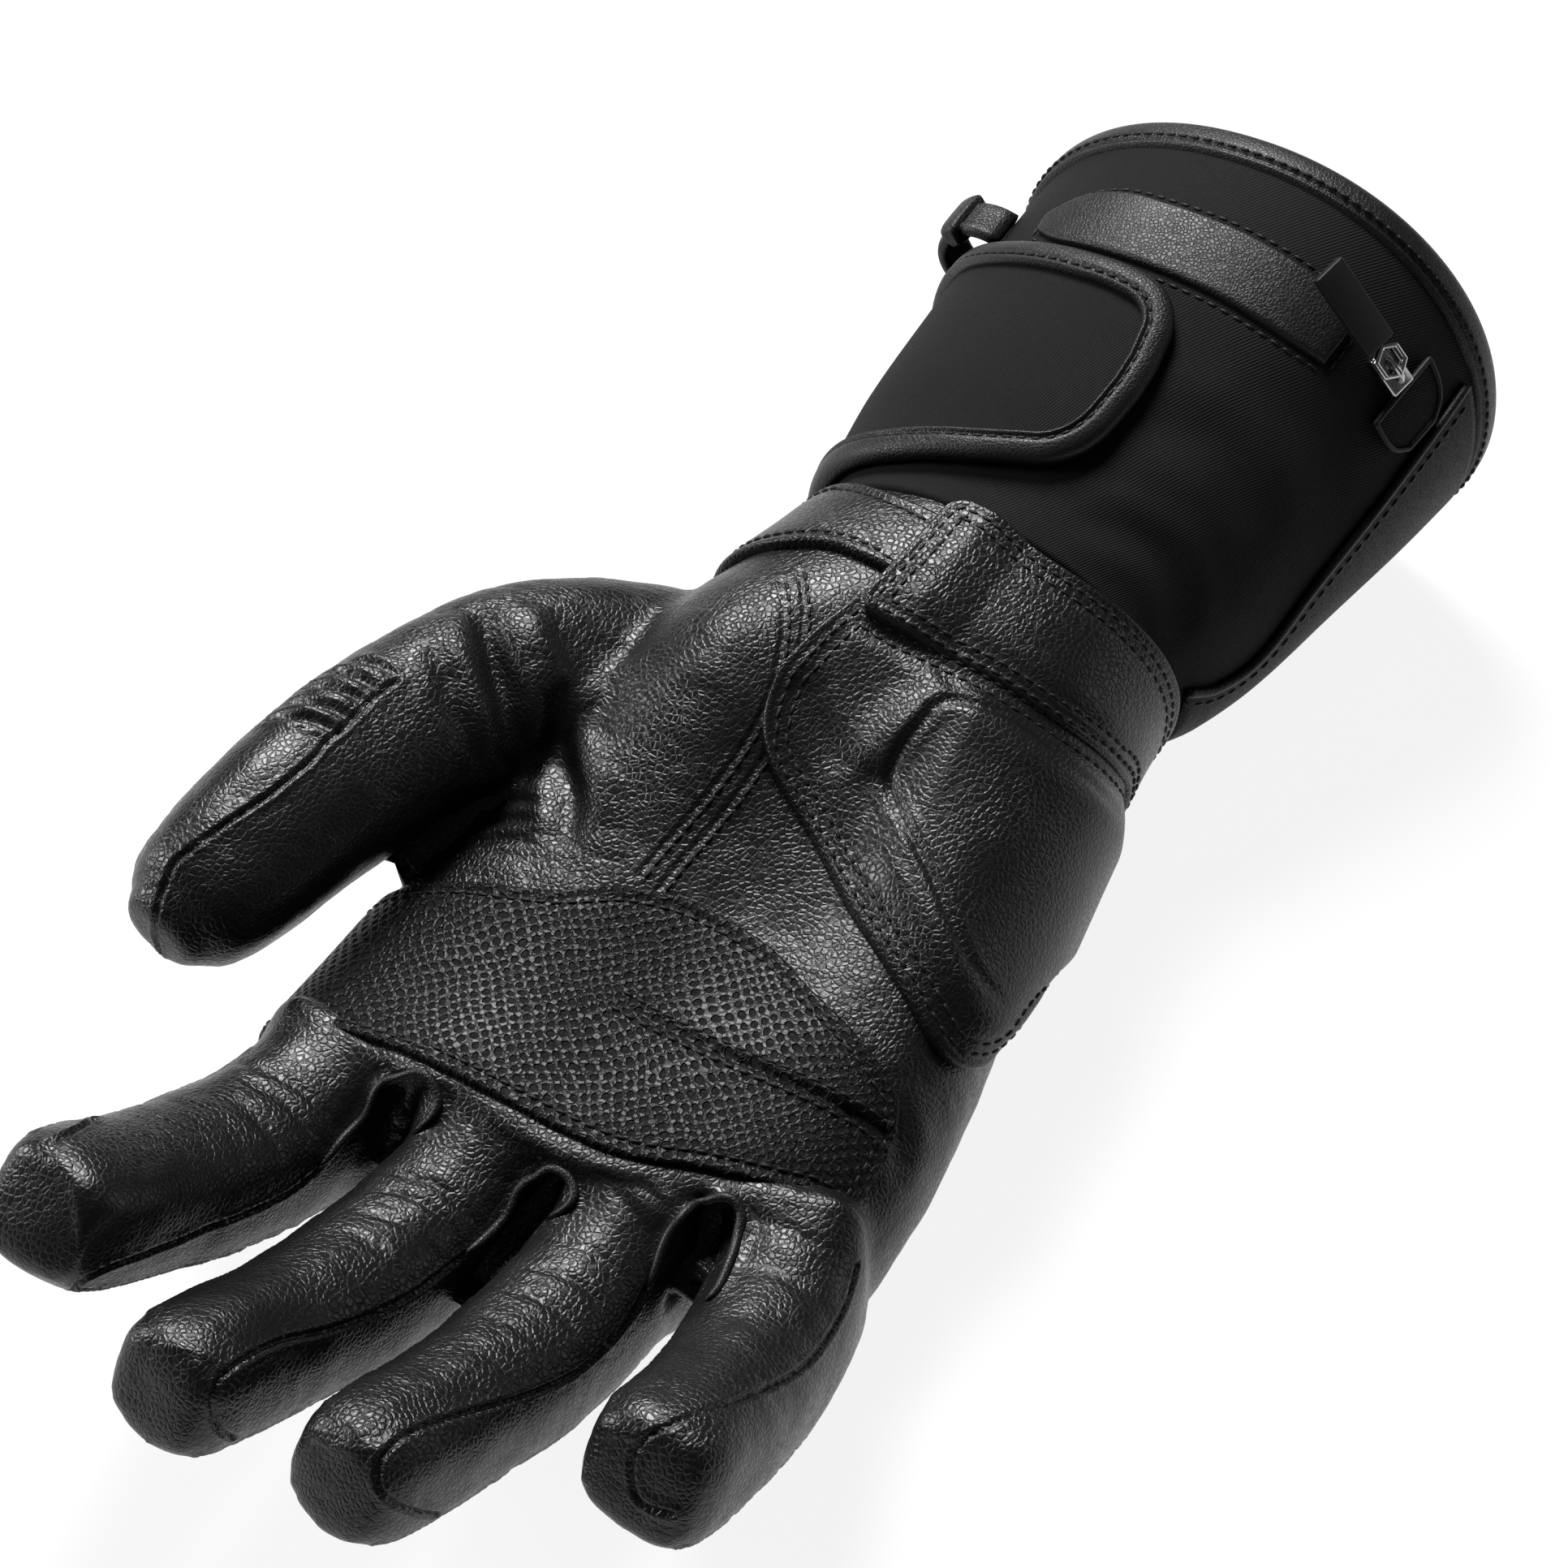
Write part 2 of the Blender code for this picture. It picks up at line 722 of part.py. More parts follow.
def build_cuff(body, parts):
    """Fabric cuff, open at the wrist and at the rim, with the binding round its rim."""
    bm = tube_mesh(cuff_rings(body), cuff_rings(body, -FABRIC_WALL), closed_end=False)
    add_object("gauntlet", bm, "fabric", parts)
    add_object("rim_binding", binding_mesh(body), "leather", parts)


def binding_mesh(body):
    """Rolled binding: an oval section carried round the rim of the cuff."""
    middle = CUFF_LENGTH + GAP + BINDING_WIDTH / 2
    half_thickness = FABRIC_WALL / 2 + BINDING_BULGE
    bm = bmesh.new()
    loops = []
    for side in range(PALM_SIDES):
        angle = 2 * math.pi * side / PALM_SIDES
        loops.append([])
        for step in range(BINDING_SIDES):
            turn = 2 * math.pi * step / BINDING_SIDES
            a, b = oval(turn, BINDING_WIDTH / 2, half_thickness, BINDING_SQUARENESS)
            place = body.point(CUFF_LENGTH, angle, b - FABRIC_WALL / 2)
            place.y = middle + a
            place.z = max(place.z, 0.0)
            loops[-1].append(bm.verts.new(place))
    for i, loop in enumerate(loops):
        bridge(bm, loop, loops[(i + 1) % PALM_SIDES])
    bmesh.ops.recalc_face_normals(bm, faces=bm.faces)
    return bm


def tube_curve(name, points, radius, collection):
    """Round tube along points, with closed ends."""
    curve = bpy.data.curves.new(name, "CURVE")
    curve.dimensions = "3D"
    curve.bevel_depth = radius
    curve.bevel_resolution = 2
    curve.use_fill_caps = True
    line = curve.splines.new("POLY")
    line.points.add(len(points) - 1)
    for knot, point in zip(line.points, points):
        knot.co = (*point, 1.0)
    tube = bpy.data.objects.new(name, curve)
    collection.objects.link(tube)
    return tube


def tube_as_mesh(tube):
    """Closed bmesh of a tube curve, which is then removed."""
    bpy.context.view_layer.update()
    depsgraph = bpy.context.evaluated_depsgraph_get()
    mesh = bpy.data.meshes.new_from_object(tube.evaluated_get(depsgraph))
    bm = bmesh.new()
    bm.from_mesh(mesh)
    bmesh.ops.remove_doubles(bm, verts=bm.verts, dist=1e-6)
    bmesh.ops.recalc_face_normals(bm, faces=bm.faces)
    bpy.data.meshes.remove(mesh)
    bpy.data.objects.remove(tube, do_unlink=True)
    return bm


def flap_edge_points(body):
    """Middle line of the piping: along the lower edge, round the tip and back along the upper."""
    angles = spread(CUFF_FLAP[-1][0], CUFF_FLAP[FLAP_TIP_ROWS][0], steps=12)
    angles += [row[0] for row in reversed(CUFF_FLAP[:FLAP_TIP_ROWS])]
    lift = LAY + FLAP_PIPING_RADIUS
    lower, upper = [], []
    for angle in angles:
        low, high = cuff_span(CUFF_FLAP)(angle)
        lower.append(body.point(low, math.radians(angle), lift))
        upper.append(body.point(high, math.radians(angle), lift))
    return lower + upper[::-1]


def build_flap(body, parts, cutters):
    """Fabric flap round the thumb side of the cuff, with its piping."""
    flap = lay(body, "cuff_flap", CUFF_FLAP, cuff_span, FLAP_THICKNESS, "fabric", parts, columns=20, rows=5)
    points = flap_edge_points(body)
    piping = tube_curve("flap_piping", points, FLAP_PIPING_RADIUS, parts)
    piping.data.materials.append(new_material("flap_piping", "leather"))
    room = tube_curve("piping_room", points, FLAP_PIPING_RADIUS + GAP, cutters)
    cut(flap, cutter("piping_room_mesh", tube_as_mesh(room), cutters))


def frame_on(body, angle, along):
    """Axes at a place on the body: round it, along Y and outward."""
    place = body.point(along, math.radians(angle))
    round_it = (body.point(along, math.radians(angle) + STEP_ROUND) - place).normalized()
    ahead = (body.point(along + STEP_ALONG, math.radians(angle)) - place).normalized()
    outward = ahead.cross(round_it).normalized()
    ahead = outward.cross(round_it)
    return Matrix((round_it, ahead, outward)).transposed().to_4x4(), place


def block_mesh(size, lift, axes, place):
    """Box of a size standing lift above a place, turned to the axes there."""
    bm = bmesh.new()
    bmesh.ops.create_cube(bm, size=1.0)
    bmesh.ops.scale(bm, vec=size, verts=bm.verts)
    bmesh.ops.translate(bm, vec=(0.0, 0.0, lift + size[2] / 2), verts=bm.verts)
    bmesh.ops.transform(bm, matrix=Matrix.Translation(place) @ axes, verts=bm.verts)
    return bm


def build_zip(body, parts, cutters):
    """Slider with the ring round its bridge, pull tab and end patch."""
    lay(body, "zip_garage", ZIP_GARAGE, cuff_span, GARAGE_THICKNESS, "leather", parts, columns=6, rows=4)
    turn = (SLIDER_LENGTH / 2 + SLIDER_CLEARANCE) / (RIM_WIDTH / 2)
    axes, place = frame_on(body, ZIP_GARAGE[-1][0] + math.degrees(turn), SLIDER_ALONG * CUFF_LENGTH)
    slider = block_mesh((SLIDER_LENGTH, SLIDER_WIDTH, SLIDER_HEIGHT), LAY, axes, place)
    slider = add_object("zip_slider", slider, "metal", parts)
    bridge_size = (BRIDGE_WIDTH, BRIDGE_WIDTH, RING_WIRE * 2 + 2 * GAP)
    post = block_mesh(bridge_size, LAY + SLIDER_HEIGHT - GAP, axes, place)
    join(slider, post, cutters)
    ring_lift = LAY + SLIDER_HEIGHT + GAP + RING_WIRE
    bpy.ops.mesh.primitive_torus_add(
        major_radius=RING_RADIUS, minor_radius=RING_WIRE, major_segments=16, minor_segments=6
    )
    ring = bpy.context.object
    take(ring, "zip_ring", "metal", parts)
    offset = axes @ Vector((RING_RADIUS - RING_WIRE - BRIDGE_WIDTH / 2 - GAP, 0.0, ring_lift))
    ring.matrix_world = Matrix.Translation(place + offset) @ axes
    tab_start = RING_RADIUS * 2 - BRIDGE_WIDTH / 2 + GAP
    tab_place = place + axes @ Vector((tab_start + TAB_LENGTH / 2, 0.0, 0.0))
    tab = block_mesh((TAB_LENGTH, TAB_WIDTH, TAB_THICKNESS), ring_lift - TAB_THICKNESS / 2, axes, tab_place)
    add_object("zip_pull", tab, "rubber", parts)


def loop_path(body, count):
    """Middle points and outward directions of the pull loop, from foot to foot."""
    feet = []
    outward = Vector()
    for angle, clearance in LOOP_FEET:
        flap_edge = cuff_span(CUFF_FLAP)(angle)[1]
        along = flap_edge + FLAP_PIPING_RADIUS + clearance + LOOP_WIDTH / 2
        axes, place = frame_on(body, angle, along)
        feet.append(place)
        outward += axes.col[2].to_3d()
    outward.normalize()
    points = []
    for step in range(count + 1):
        share = step / count
        rise = (1.0 - abs(2.0 * share - 1.0) ** LOOP_SQUARENESS) ** LOOP_FILL
        foot = feet[0].lerp(feet[1], share)
        points.append(foot + outward * (LAY + LOOP_RISE * rise))
    return points, outward


def strip_rings(points, outward, width, thickness):
    """Rings of a flat strip along points, its width across the plane of the path."""
    rings = []
    last = len(points) - 1
    across = outward.cross(points[-1] - points[0]).normalized()
    for i, point in enumerate(points):
        heading = (points[min(i + 1, last)] - points[max(i - 1, 0)]).normalized()
        normal = across.cross(heading).normalized()
        ring = []
        for step in range(STRIP_SIDES):
            a, b = oval(2 * math.pi * (step + 0.5) / STRIP_SIDES, width / 2, thickness / 2, STRIP_SQUARENESS)
            ring.append(point + across * a + normal * b)
        rings.append(ring)
    return rings


def build_loop(body, parts):
    """Pull loop that stands off the thumb side near the rim, with its keeper."""
    points, outward = loop_path(body, LOOP_STEPS)
    strip = tube_mesh(strip_rings(points, outward, LOOP_WIDTH, LOOP_THICKNESS))
    add_object("pull_loop", strip, "leather", parts)
    outer, inner = (
        strip_rings(points, outward, LOOP_WIDTH + 2 * grow, LOOP_THICKNESS + 2 * grow)[slice(*KEEPER_STEPS)]
        for grow in (LAY + KEEPER_THICKNESS, LAY)
    )
    add_object("loop_keeper", tube_mesh(outer, inner, closed_end=False), "leather", parts)


def build_panels(body, parts):
    """Leather side panel and zip strip of the cuff."""
    shares = spread(SIDE_PANEL_SEAM[0][0], SIDE_PANEL_SEAM[-1][0], steps=10)
    under, over = [], []
    for share in shares:
        seam = smooth_between(*zip(*SIDE_PANEL_SEAM), share)
        angles = [math.radians(angle) for angle in spread(SIDE_PANEL_BACK, seam, steps=7)]
        along = share * CUFF_LENGTH
        under.append([body.point(along, angle, LAY) for angle in angles])
        over.append([body.point(along, angle, LAY + PANEL_THICKNESS) for angle in angles])
    add_object("cuff_side_panel", slab_mesh(under, over), "leather", parts)
    lay(body, "zip_strip", ZIP_STRIP, cuff_span, ZIP_STRIP_THICKNESS, "leather", parts, columns=12, rows=2)


def centre_on_floor(parts, cutters):
    """Move everything so that the origin is under the middle of the glove's box."""
    bpy.context.view_layer.update()
    depsgraph = bpy.context.evaluated_depsgraph_get()
    corners = []
    for part in parts.objects:
        built = part.evaluated_get(depsgraph)
        mesh = built.to_mesh()
        corners += [part.matrix_world @ vertex.co for vertex in mesh.vertices]
        built.to_mesh_clear()
    for axis in (0, 1):
        low = min(corner[axis] for corner in corners)
        high = max(corner[axis] for corner in corners)
        for part in (*parts.objects, *cutters.objects):
            part.location[axis] -= (low + high) / 2


def main():
    """Build every piece of the glove."""
    for old in list(bpy.data.objects):
        bpy.data.objects.remove(old, do_unlink=True)
    parts = bpy.data.collections.new(COLLECTION)
    cutters = bpy.data.collections.new("cutters")
    bpy.context.scene.collection.children.link(parts)
    bpy.context.scene.collection.children.link(cutters)
    body = Body()
    build_hand(body, parts, cutters)
    build_grip(body, parts, cutters)
    build_closure(body, parts)
    build_cuff(body, parts)
    build_panels(body, parts)
    build_flap(body, parts, cutters)
    build_zip(body, parts, cutters)
    build_loop(body, parts)
    centre_on_floor(parts, cutters)


main()
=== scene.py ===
"""Looks of a heated riding glove: right hand, stuffed open, lying on its back with the palm up.

X points to the little finger, Y to the cuff and Z up, in metres, as in the CAD model.
"""
import logging
import math
from dataclasses import dataclass, field
from enum import Enum
from typing import Any, Callable, Optional, Sequence

import bmesh
import bpy
import numpy as np
from mathutils import Matrix, Vector, noise
from mathutils.bvhtree import BVHTree


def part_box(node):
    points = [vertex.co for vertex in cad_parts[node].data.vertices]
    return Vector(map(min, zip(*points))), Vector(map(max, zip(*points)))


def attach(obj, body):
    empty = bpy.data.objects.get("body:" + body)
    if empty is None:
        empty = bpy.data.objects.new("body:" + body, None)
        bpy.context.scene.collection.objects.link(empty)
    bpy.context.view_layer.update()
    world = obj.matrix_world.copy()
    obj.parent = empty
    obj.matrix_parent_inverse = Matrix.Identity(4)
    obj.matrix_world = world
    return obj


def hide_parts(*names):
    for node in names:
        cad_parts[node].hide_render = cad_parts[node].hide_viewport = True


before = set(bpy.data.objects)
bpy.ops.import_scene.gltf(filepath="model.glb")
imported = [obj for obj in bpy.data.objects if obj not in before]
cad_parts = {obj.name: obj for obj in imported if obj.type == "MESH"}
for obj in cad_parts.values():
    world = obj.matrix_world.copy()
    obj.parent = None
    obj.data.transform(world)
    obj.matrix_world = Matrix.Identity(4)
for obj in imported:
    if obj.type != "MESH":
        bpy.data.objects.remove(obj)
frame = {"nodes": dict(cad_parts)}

log = logging.getLogger("heated_glove")

MM = 0.001
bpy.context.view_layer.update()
SHORTEST_PATH = 3

# Driving sizes of the hand and the cuff, as in the CAD model
HAND_LENGTH = 0.152
CUFF_LENGTH = 0.087
PALM_WIDTH = 0.120
PALM_THICKNESS = 0.044
WRIST_WIDTH = 0.081
WRIST_THICKNESS = 0.062
RIM_WIDTH = 0.106
RIM_HEIGHT = 0.092
FINGER_LENGTH = 0.087
FINGER_WIDTH = 0.0285
FINGER_THICKNESS = 0.027
THUMB_WIDTH = 0.036
THUMB_THICKNESS = 0.033
ROOT_HEIGHT = 0.49
THUMB_ROLL = 25.0
SWELL_FADE = 0.5
GAP = 0.0003
WALL = 0.003
FINGER_GAP = 0.0020

# Sections of the hand. Columns: share of HAND_LENGTH, fullness in width and in thickness,
# middle in shares of PALM_WIDTH, lift in shares of PALM_THICKNESS, squareness, roll in degrees
HAND = (
    (0.00, 0.00, 0.00, -0.034, 0.10, 2.2, 1.0),
    (0.17, 0.22, 0.10, -0.046, 0.07, 2.2, 0.0),
    (0.31, 0.50, 0.36, -0.066, 0.02, 2.3, -1.0),
    (0.47, 0.74, 0.62, -0.070, -0.03, 2.4, -1.0),
    (0.67, 0.94, 0.82, -0.048, -0.04, 2.5, -1.0),
    (0.87, 1.01, 0.96, -0.038, -0.04, 2.6, -1.0),
    (1.05, 1.01, 1.08, -0.036, 0.01, 2.6, -1.0),
    (1.20, 0.99, 1.20, -0.036, 0.02, 2.6, -1.0),
)

# Sections of the cuff. Columns: share of CUFF_LENGTH, fullness in width and in height,
# middle in shares of RIM_WIDTH, lift in shares of RIM_HEIGHT, squareness, roll in degrees
CUFF = (
    (0.14, 0.26, 0.22, -0.023, 0.012, 2.2, 2.0),
    (0.30, 0.50, 0.48, -0.012, -0.015, 2.2, 4.0),
    (0.55, 0.74, 0.72, 0.005, -0.020, 2.1, 6.0),
    (0.80, 0.92, 0.92, 0.023, -0.020, 2.1, 8.0),
    (1.00, 1.00, 1.04, 0.036, -0.020, 2.1, 9.0),
)

# Swellings of the palm. Columns: across in shares of PALM_WIDTH, along in shares of HAND_LENGTH,
# height in shares of PALM_THICKNESS, reach across and along in the same shares
PALM_FORMS = (
    (-0.30, 0.36, 0.26, 0.20, 0.20),
    (0.32, 0.50, 0.10, 0.16, 0.22),
    (0.02, 0.66, -0.10, 0.22, 0.20),
)

# Knuckle line. Columns: across in shares of PALM_WIDTH, along in shares of HAND_LENGTH
KNUCKLES = ((-0.58, 1.05), (-0.24, 1.00), (0.03, 1.005), (0.25, 0.935), (0.48, 0.86))

# Fingers. Columns: name, side edges of the root in shares of PALM_WIDTH, length and width shares,
# sideways turn at the root and added to the tip, upward turn at the root and added, in degrees
FINGERS = (
    ("index_finger", -0.534, -0.257, 0.91, 1.06, -5.0, 0.0, 13.0, 34.0),
    ("middle_finger", -0.254, 0.012, 1.00, 1.03, 0.0, -8.0, 6.0, 28.0),
    ("ring_finger", 0.015, 0.240, 0.97, 1.03, 6.0, -14.0, 5.0, 26.0),
    ("little_finger", 0.243, 0.464, 0.80, 1.03, 21.0, -21.0, 9.0, 26.0),
)

# Sections along a finger. Columns: share of its length, width share, thickness share, squareness
FINGER_SECTIONS = (
    (0.00, 1.00, 1.46, 4.5),
    (0.10, 1.00, 1.28, 2.8),
    (0.25, 1.00, 1.10, 2.7),
    (0.45, 0.99, 1.02, 2.8),
    (0.70, 0.97, 1.00, 2.8),
    (0.86, 0.95, 0.97, 3.2),
    (0.95, 0.92, 0.91, 3.4),
    (0.99, 0.84, 0.81, 3.5),
)

# Sections along the thumb. Columns: across in shares of PALM_WIDTH, along in shares of
# HAND_LENGTH, height in shares of PALM_THICKNESS, width share, thickness share, squareness
THUMB = (
    (-0.270, 0.250, 0.62, 0.86, 0.96, 2.2),
    (-0.420, 0.316, 0.78, 1.00, 1.10, 2.2),
    (-0.550, 0.442, 0.96, 1.06, 1.06, 2.4),
    (-0.630, 0.612, 1.06, 1.00, 1.00, 2.5),
    (-0.665, 0.772, 1.10, 0.94, 0.94, 2.6),
    (-0.683, 0.912, 1.10, 0.86, 0.88, 2.6),
    (-0.691, 0.982, 1.10, 0.74, 0.74, 2.5),
    (-0.695, 1.022, 1.10, 0.48, 0.46, 2.4),
)

# Thickness of the laid pieces and their clearance over the body
LAY = 0.0006
PATCH_THICKNESS = 0.0012
PATCH_LIFT = 0.0001
BAND_THICKNESS = 0.0016
STRAP_THICKNESS = 0.0024
STRAP_RAMP = 10.0
GUARD_THICKNESS = 0.0022
PAD_HEIGHT = 0.0032
PAD_MARGIN = 0.011
PAD_SLOPE = 0.011
PAD_ANGLES = (-16.0, 76.0)
GUARD_TUCK = 0.0030
PANEL_THICKNESS = 0.0012
ZIP_STRIP_THICKNESS = 0.0010
FLAP_THICKNESS = 0.0024
GARAGE_THICKNESS = 0.0010
GARAGE_LIP = 0.0006
FABRIC_WALL = 0.0028
BINDING_WIDTH = 0.0085
BINDING_BULGE = 0.0020
RIM_ROW = -0.0024
FLAP_ROW = 0.0014

# Laid pieces of the hand. Columns: angle in degrees, fingerward and cuffward edge in shares of
# HAND_LENGTH from the wrist seam, both in the order that the CAD model gives them
PALM_PATCH = (
    (32.0, 0.850, 0.790),
    (36.0, 0.860, 0.715),
    (44.0, 0.865, 0.690),
    (56.0, 0.890, 0.670),
    (70.0, 0.925, 0.645),
    (80.0, 0.960, 0.620),
    (90.0, 0.975, 0.618),
    (100.0, 0.980, 0.650),
    (112.0, 0.985, 0.705),
    (128.0, 0.995, 0.735),
    (150.0, 1.010, 0.765),
    (178.0, 1.020, 0.790),
)
PALM_SLIT = ((26.0, 0.752), (38.0, 0.748), (54.0, 0.758), (72.0, 0.772), (92.0, 0.785))
WRIST_BAND = (
    (87.0, 0.150, 0.040),
    (100.0, 0.148, 0.038),
    (116.0, 0.150, 0.030),
    (134.0, 0.170, 0.018),
    (152.0, 0.175, 0.018),
    (180.0, 0.172, 0.030),
    (206.0, 0.165, 0.040),
)
WRIST_STRAP = (
    (-58.0, 0.150, 0.004),
    (-30.0, 0.140, 0.000),
    (0.0, 0.136, -0.014),
    (16.0, 0.160, -0.008),
    (45.0, 0.196, 0.010),
    (70.0, 0.210, 0.022),
    (88.0, 0.222, 0.014),
    (94.0, 0.222, 0.018),
    (96.5, 0.205, 0.034),
)
HEEL_GUARD = (
    (-34.0, 0.330),
    (-18.0, 0.365),
    (-4.0, 0.410),
    (5.0, 0.470),
    (12.0, 0.560),
    (20.0, 0.600),
    (30.0, 0.620),
    (42.0, 0.610),
    (66.0, 0.546),
    (84.0, 0.470),
    (90.0, 0.445),
    (96.0, 0.400),
    (99.0, 0.340),
)

# Pieces of the cuff. Columns of the panel's seam: share of CUFF_LENGTH, angle.
# Columns of the others: angle, wristward edge and rimward edge in shares of CUFF_LENGTH
SIDE_PANEL_BACK = -50.0
SIDE_PANEL_SEAM = ((0.06, 0.0), (0.14, -5.0), (0.25, -7.0), (0.40, 0.0), (0.62, 5.0), (0.98, 11.0))
ZIP_STRIP = (
    (46.0, 0.690, 0.815),
    (58.0, 0.672, 0.828),
    (76.0, 0.667, 0.830),
    (94.0, 0.670, 0.835),
    (108.0, 0.682, 0.845),
    (118.0, 0.700, 0.825),
    (125.0, 0.735, 0.785),
)
CUFF_FLAP = (
    (79.0, 0.370, 0.440),
    (80.5, 0.270, 0.530),
    (85.0, 0.195, 0.590),
    (92.0, 0.150, 0.612),
    (104.0, 0.110, 0.622),
    (126.0, 0.072, 0.648),
    (152.0, 0.068, 0.705),
    (178.0, 0.068, 0.715),
    (200.0, 0.068, 0.715),
)
ZIP_GARAGE = ((13.0, 0.755, 0.845), (16.0, 0.720, 0.880), (20.0, 0.705, 0.895), (26.0, 0.700, 0.900))

# Zip slider, its ring and tab, and the pull loop
SLIDER_ALONG = 0.795
SLIDER_LENGTH = 0.009
SLIDER_WIDTH = 0.006
SLIDER_HEIGHT = 0.0028
SLIDER_CLEARANCE = 0.0015
BRIDGE_WIDTH = 0.0022
RING_RADIUS = 0.0034
RING_WIRE = 0.0007
TAB_LENGTH = 0.019
TAB_WIDTH = 0.0075
TAB_THICKNESS = 0.0016
FLAP_PIPING_RADIUS = 0.0024
LOOP_FEET = ((167.0, 0.0010), (144.0, 0.0032))
LOOP_WIDTH = 0.0095
LOOP_THICKNESS = 0.0024
LOOP_RISE = 0.0095
LOOP_SQUARENESS = 2.5
LOOP_FILL = 0.6
LOOP_STEPS = 48
KEEPER_SHARES = (0.66, 0.84)
KEEPER_THICKNESS = 0.0016


def smooth_between(stations: Sequence[float], values: Any, at: Any) -> np.ndarray:
    """Values on a smooth curve through the given ones.

    Args:
        stations: Rising places of the given values.
        values: One value or one row of values for each station.
        at: Places to read.

    Returns:
        The values at those places, one row for each.
    """
    stations = np.asarray(stations, float)
    values = np.asarray(values, float).reshape(len(stations), -1)
    at = np.asarray(at, float)
    last = len(stations) - 1
    index = np.arange(last + 1)
    before, after = np.maximum(index - 1, 0), np.minimum(index + 1, last)
    slopes = (values[after] - values[before]) / (stations[after] - stations[before])[:, None]
    low = np.clip(np.searchsorted(stations, at, side="right") - 1, 0, last - 1)
    span = (stations[low + 1] - stations[low])[:, None]
    t = (at - stations[low])[:, None] / span
    rise = values[low + 1] - values[low]
    start, end = slopes[low] * span, slopes[low + 1] * span
    return values[low] + t * start + t ** 2 * (3 * rise - 2 * start - end) + t ** 3 * (start + end - 2 * rise)


def oval(
    angle: np.ndarray, half_width: Any, half_height: Any, squareness: Any
) -> tuple[np.ndarray, np.ndarray]:
    """Points on an oval whose corners fill out as its squareness rises above 2."""
    power = 2.0 / squareness
    c, s = np.cos(angle), np.sin(angle)
    return (
        half_width * np.sign(c) * np.abs(c) ** power,
        half_height * np.sign(s) * np.abs(s) ** power,
    )


def unit(vectors: np.ndarray) -> np.ndarray:
    """The same vectors with length 1."""
    return vectors / np.maximum(np.linalg.norm(vectors, axis=-1, keepdims=True), 1e-12)


def ease(t: np.ndarray) -> np.ndarray:
    """Smooth rise from 0 to 1 as t goes from 0 to 1."""
    t = np.clip(t, 0.0, 1.0)
    return t * t * (3 - 2 * t)


def knuckle_line(x: np.ndarray) -> np.ndarray:
    """Place along Y of the knuckles at places across the palm, before the shift to the frame."""
    across, down = zip(*KNUCKLES)
    return -HAND_LENGTH * smooth_between(across, down, np.asarray(x) / PALM_WIDTH)[:, 0]


def palm_swell(x: np.ndarray, along: np.ndarray) -> np.ndarray:
    """Height that the swellings and hollows add to the palm."""
    total = np.zeros_like(x)
    for across, down, height, reach_across, reach_along in PALM_FORMS:
        u = (x - across * PALM_WIDTH) / (reach_across * PALM_WIDTH)
        v = (along + down * HAND_LENGTH) / (reach_along * HAND_LENGTH)
        total += height * PALM_THICKNESS * np.exp(-u * u - v * v)
    return total


def sections(table: Sequence, length: float, width: float, height: float) -> list:
    """Sections of the surface from a table whose fullness grows from the wrist to a width and a height.

    Args:
        table: Rows of shares, one for each section.
        length: What the shares along Y are of.
        width: Width where the fullness is 1; where it's 0 the wrist's holds.
        height: Height where the fullness is 1.

    Returns:
        Place along Y, width, height, middle, lift, squareness and roll of each section.
    """
    return [
        (
            along * length,
            WRIST_WIDTH + (width - WRIST_WIDTH) * wide,
            WRIST_THICKNESS + (height - WRIST_THICKNESS) * high,
            middle * width,
            lift * height,
            square,
            math.radians(roll),
        )
        for along, wide, high, middle, lift, square, roll in table
    ]


class Body:
    """Outer surface of the hand and the cuff: a flattened tube along Y in the frame."""

    def __init__(self) -> None:
        """Work out the sections, and the shift that puts the hand where the CAD model has it."""
        hand = sections(HAND[::-1], -HAND_LENGTH, PALM_WIDTH, PALM_THICKNESS)
        self.rows = np.array(hand + sections(CUFF, CUFF_LENGTH, RIM_WIDTH, RIM_HEIGHT))
        self.shift = np.zeros(3)
        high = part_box("palm_shell")[1]
        angles = np.radians(np.arange(0.0, 360.0, 9.0))
        shares = np.linspace(0.0, 1.0, 11)
        sampled = self.point(-shares[:, None] * HAND_LENGTH, angles[None, :]).reshape(-1, 3)
        self.shift = np.array((high.x - sampled[:, 0].max(), high.y + GAP, 0.0))

    def point(self, along: Any, angle: Any, grow: Any = 0.0) -> np.ndarray:
        """Points of the surface in the frame.

        Args:
            along: Distances along Y from the wrist seam.
            angle: Angles round the tube in radians: 0 little finger, 90 degrees palm, 180 thumb.
            grow: Distance outward from the surface.

        Returns:
            One row of X, Y and Z for each place.
        """
        along, angle, grow = np.broadcast_arrays(*(np.asarray(v, float) for v in (along, angle, grow)))
        shape = along.shape
        along, angle, grow = along.ravel(), angle.ravel(), grow.ravel()
        width, height, middle, lift, square, roll = smooth_between(self.rows[:, 0], self.rows[:, 1:], along).T
        a, b = oval(angle, width / 2 + grow, height / 2 + grow, square)
        x = middle + a * np.cos(roll) - b * np.sin(roll)
        z = lift + height / 2 + a * np.sin(roll) + b * np.cos(roll)
        z = z + np.maximum(np.sin(angle), 0.0) ** SWELL_FADE * palm_swell(x, along)
        points = np.stack((x, along, np.maximum(z, -grow)), axis=1) + self.shift
        return points.reshape(*shape, 3)

    def outward(self, along: Any, angle: Any) -> np.ndarray:
        """Outward directions at places of the surface."""
        along, angle = np.broadcast_arrays(np.asarray(along, float), np.asarray(angle, float))
        step_along, step_round = 2.0 * MM, math.radians(3.0)
        ahead = self.point(along + step_along, angle) - self.point(along - step_along, angle)
        round_it = self.point(along, angle + step_round) - self.point(along, angle - step_round)
        return unit(np.cross(ahead, round_it))


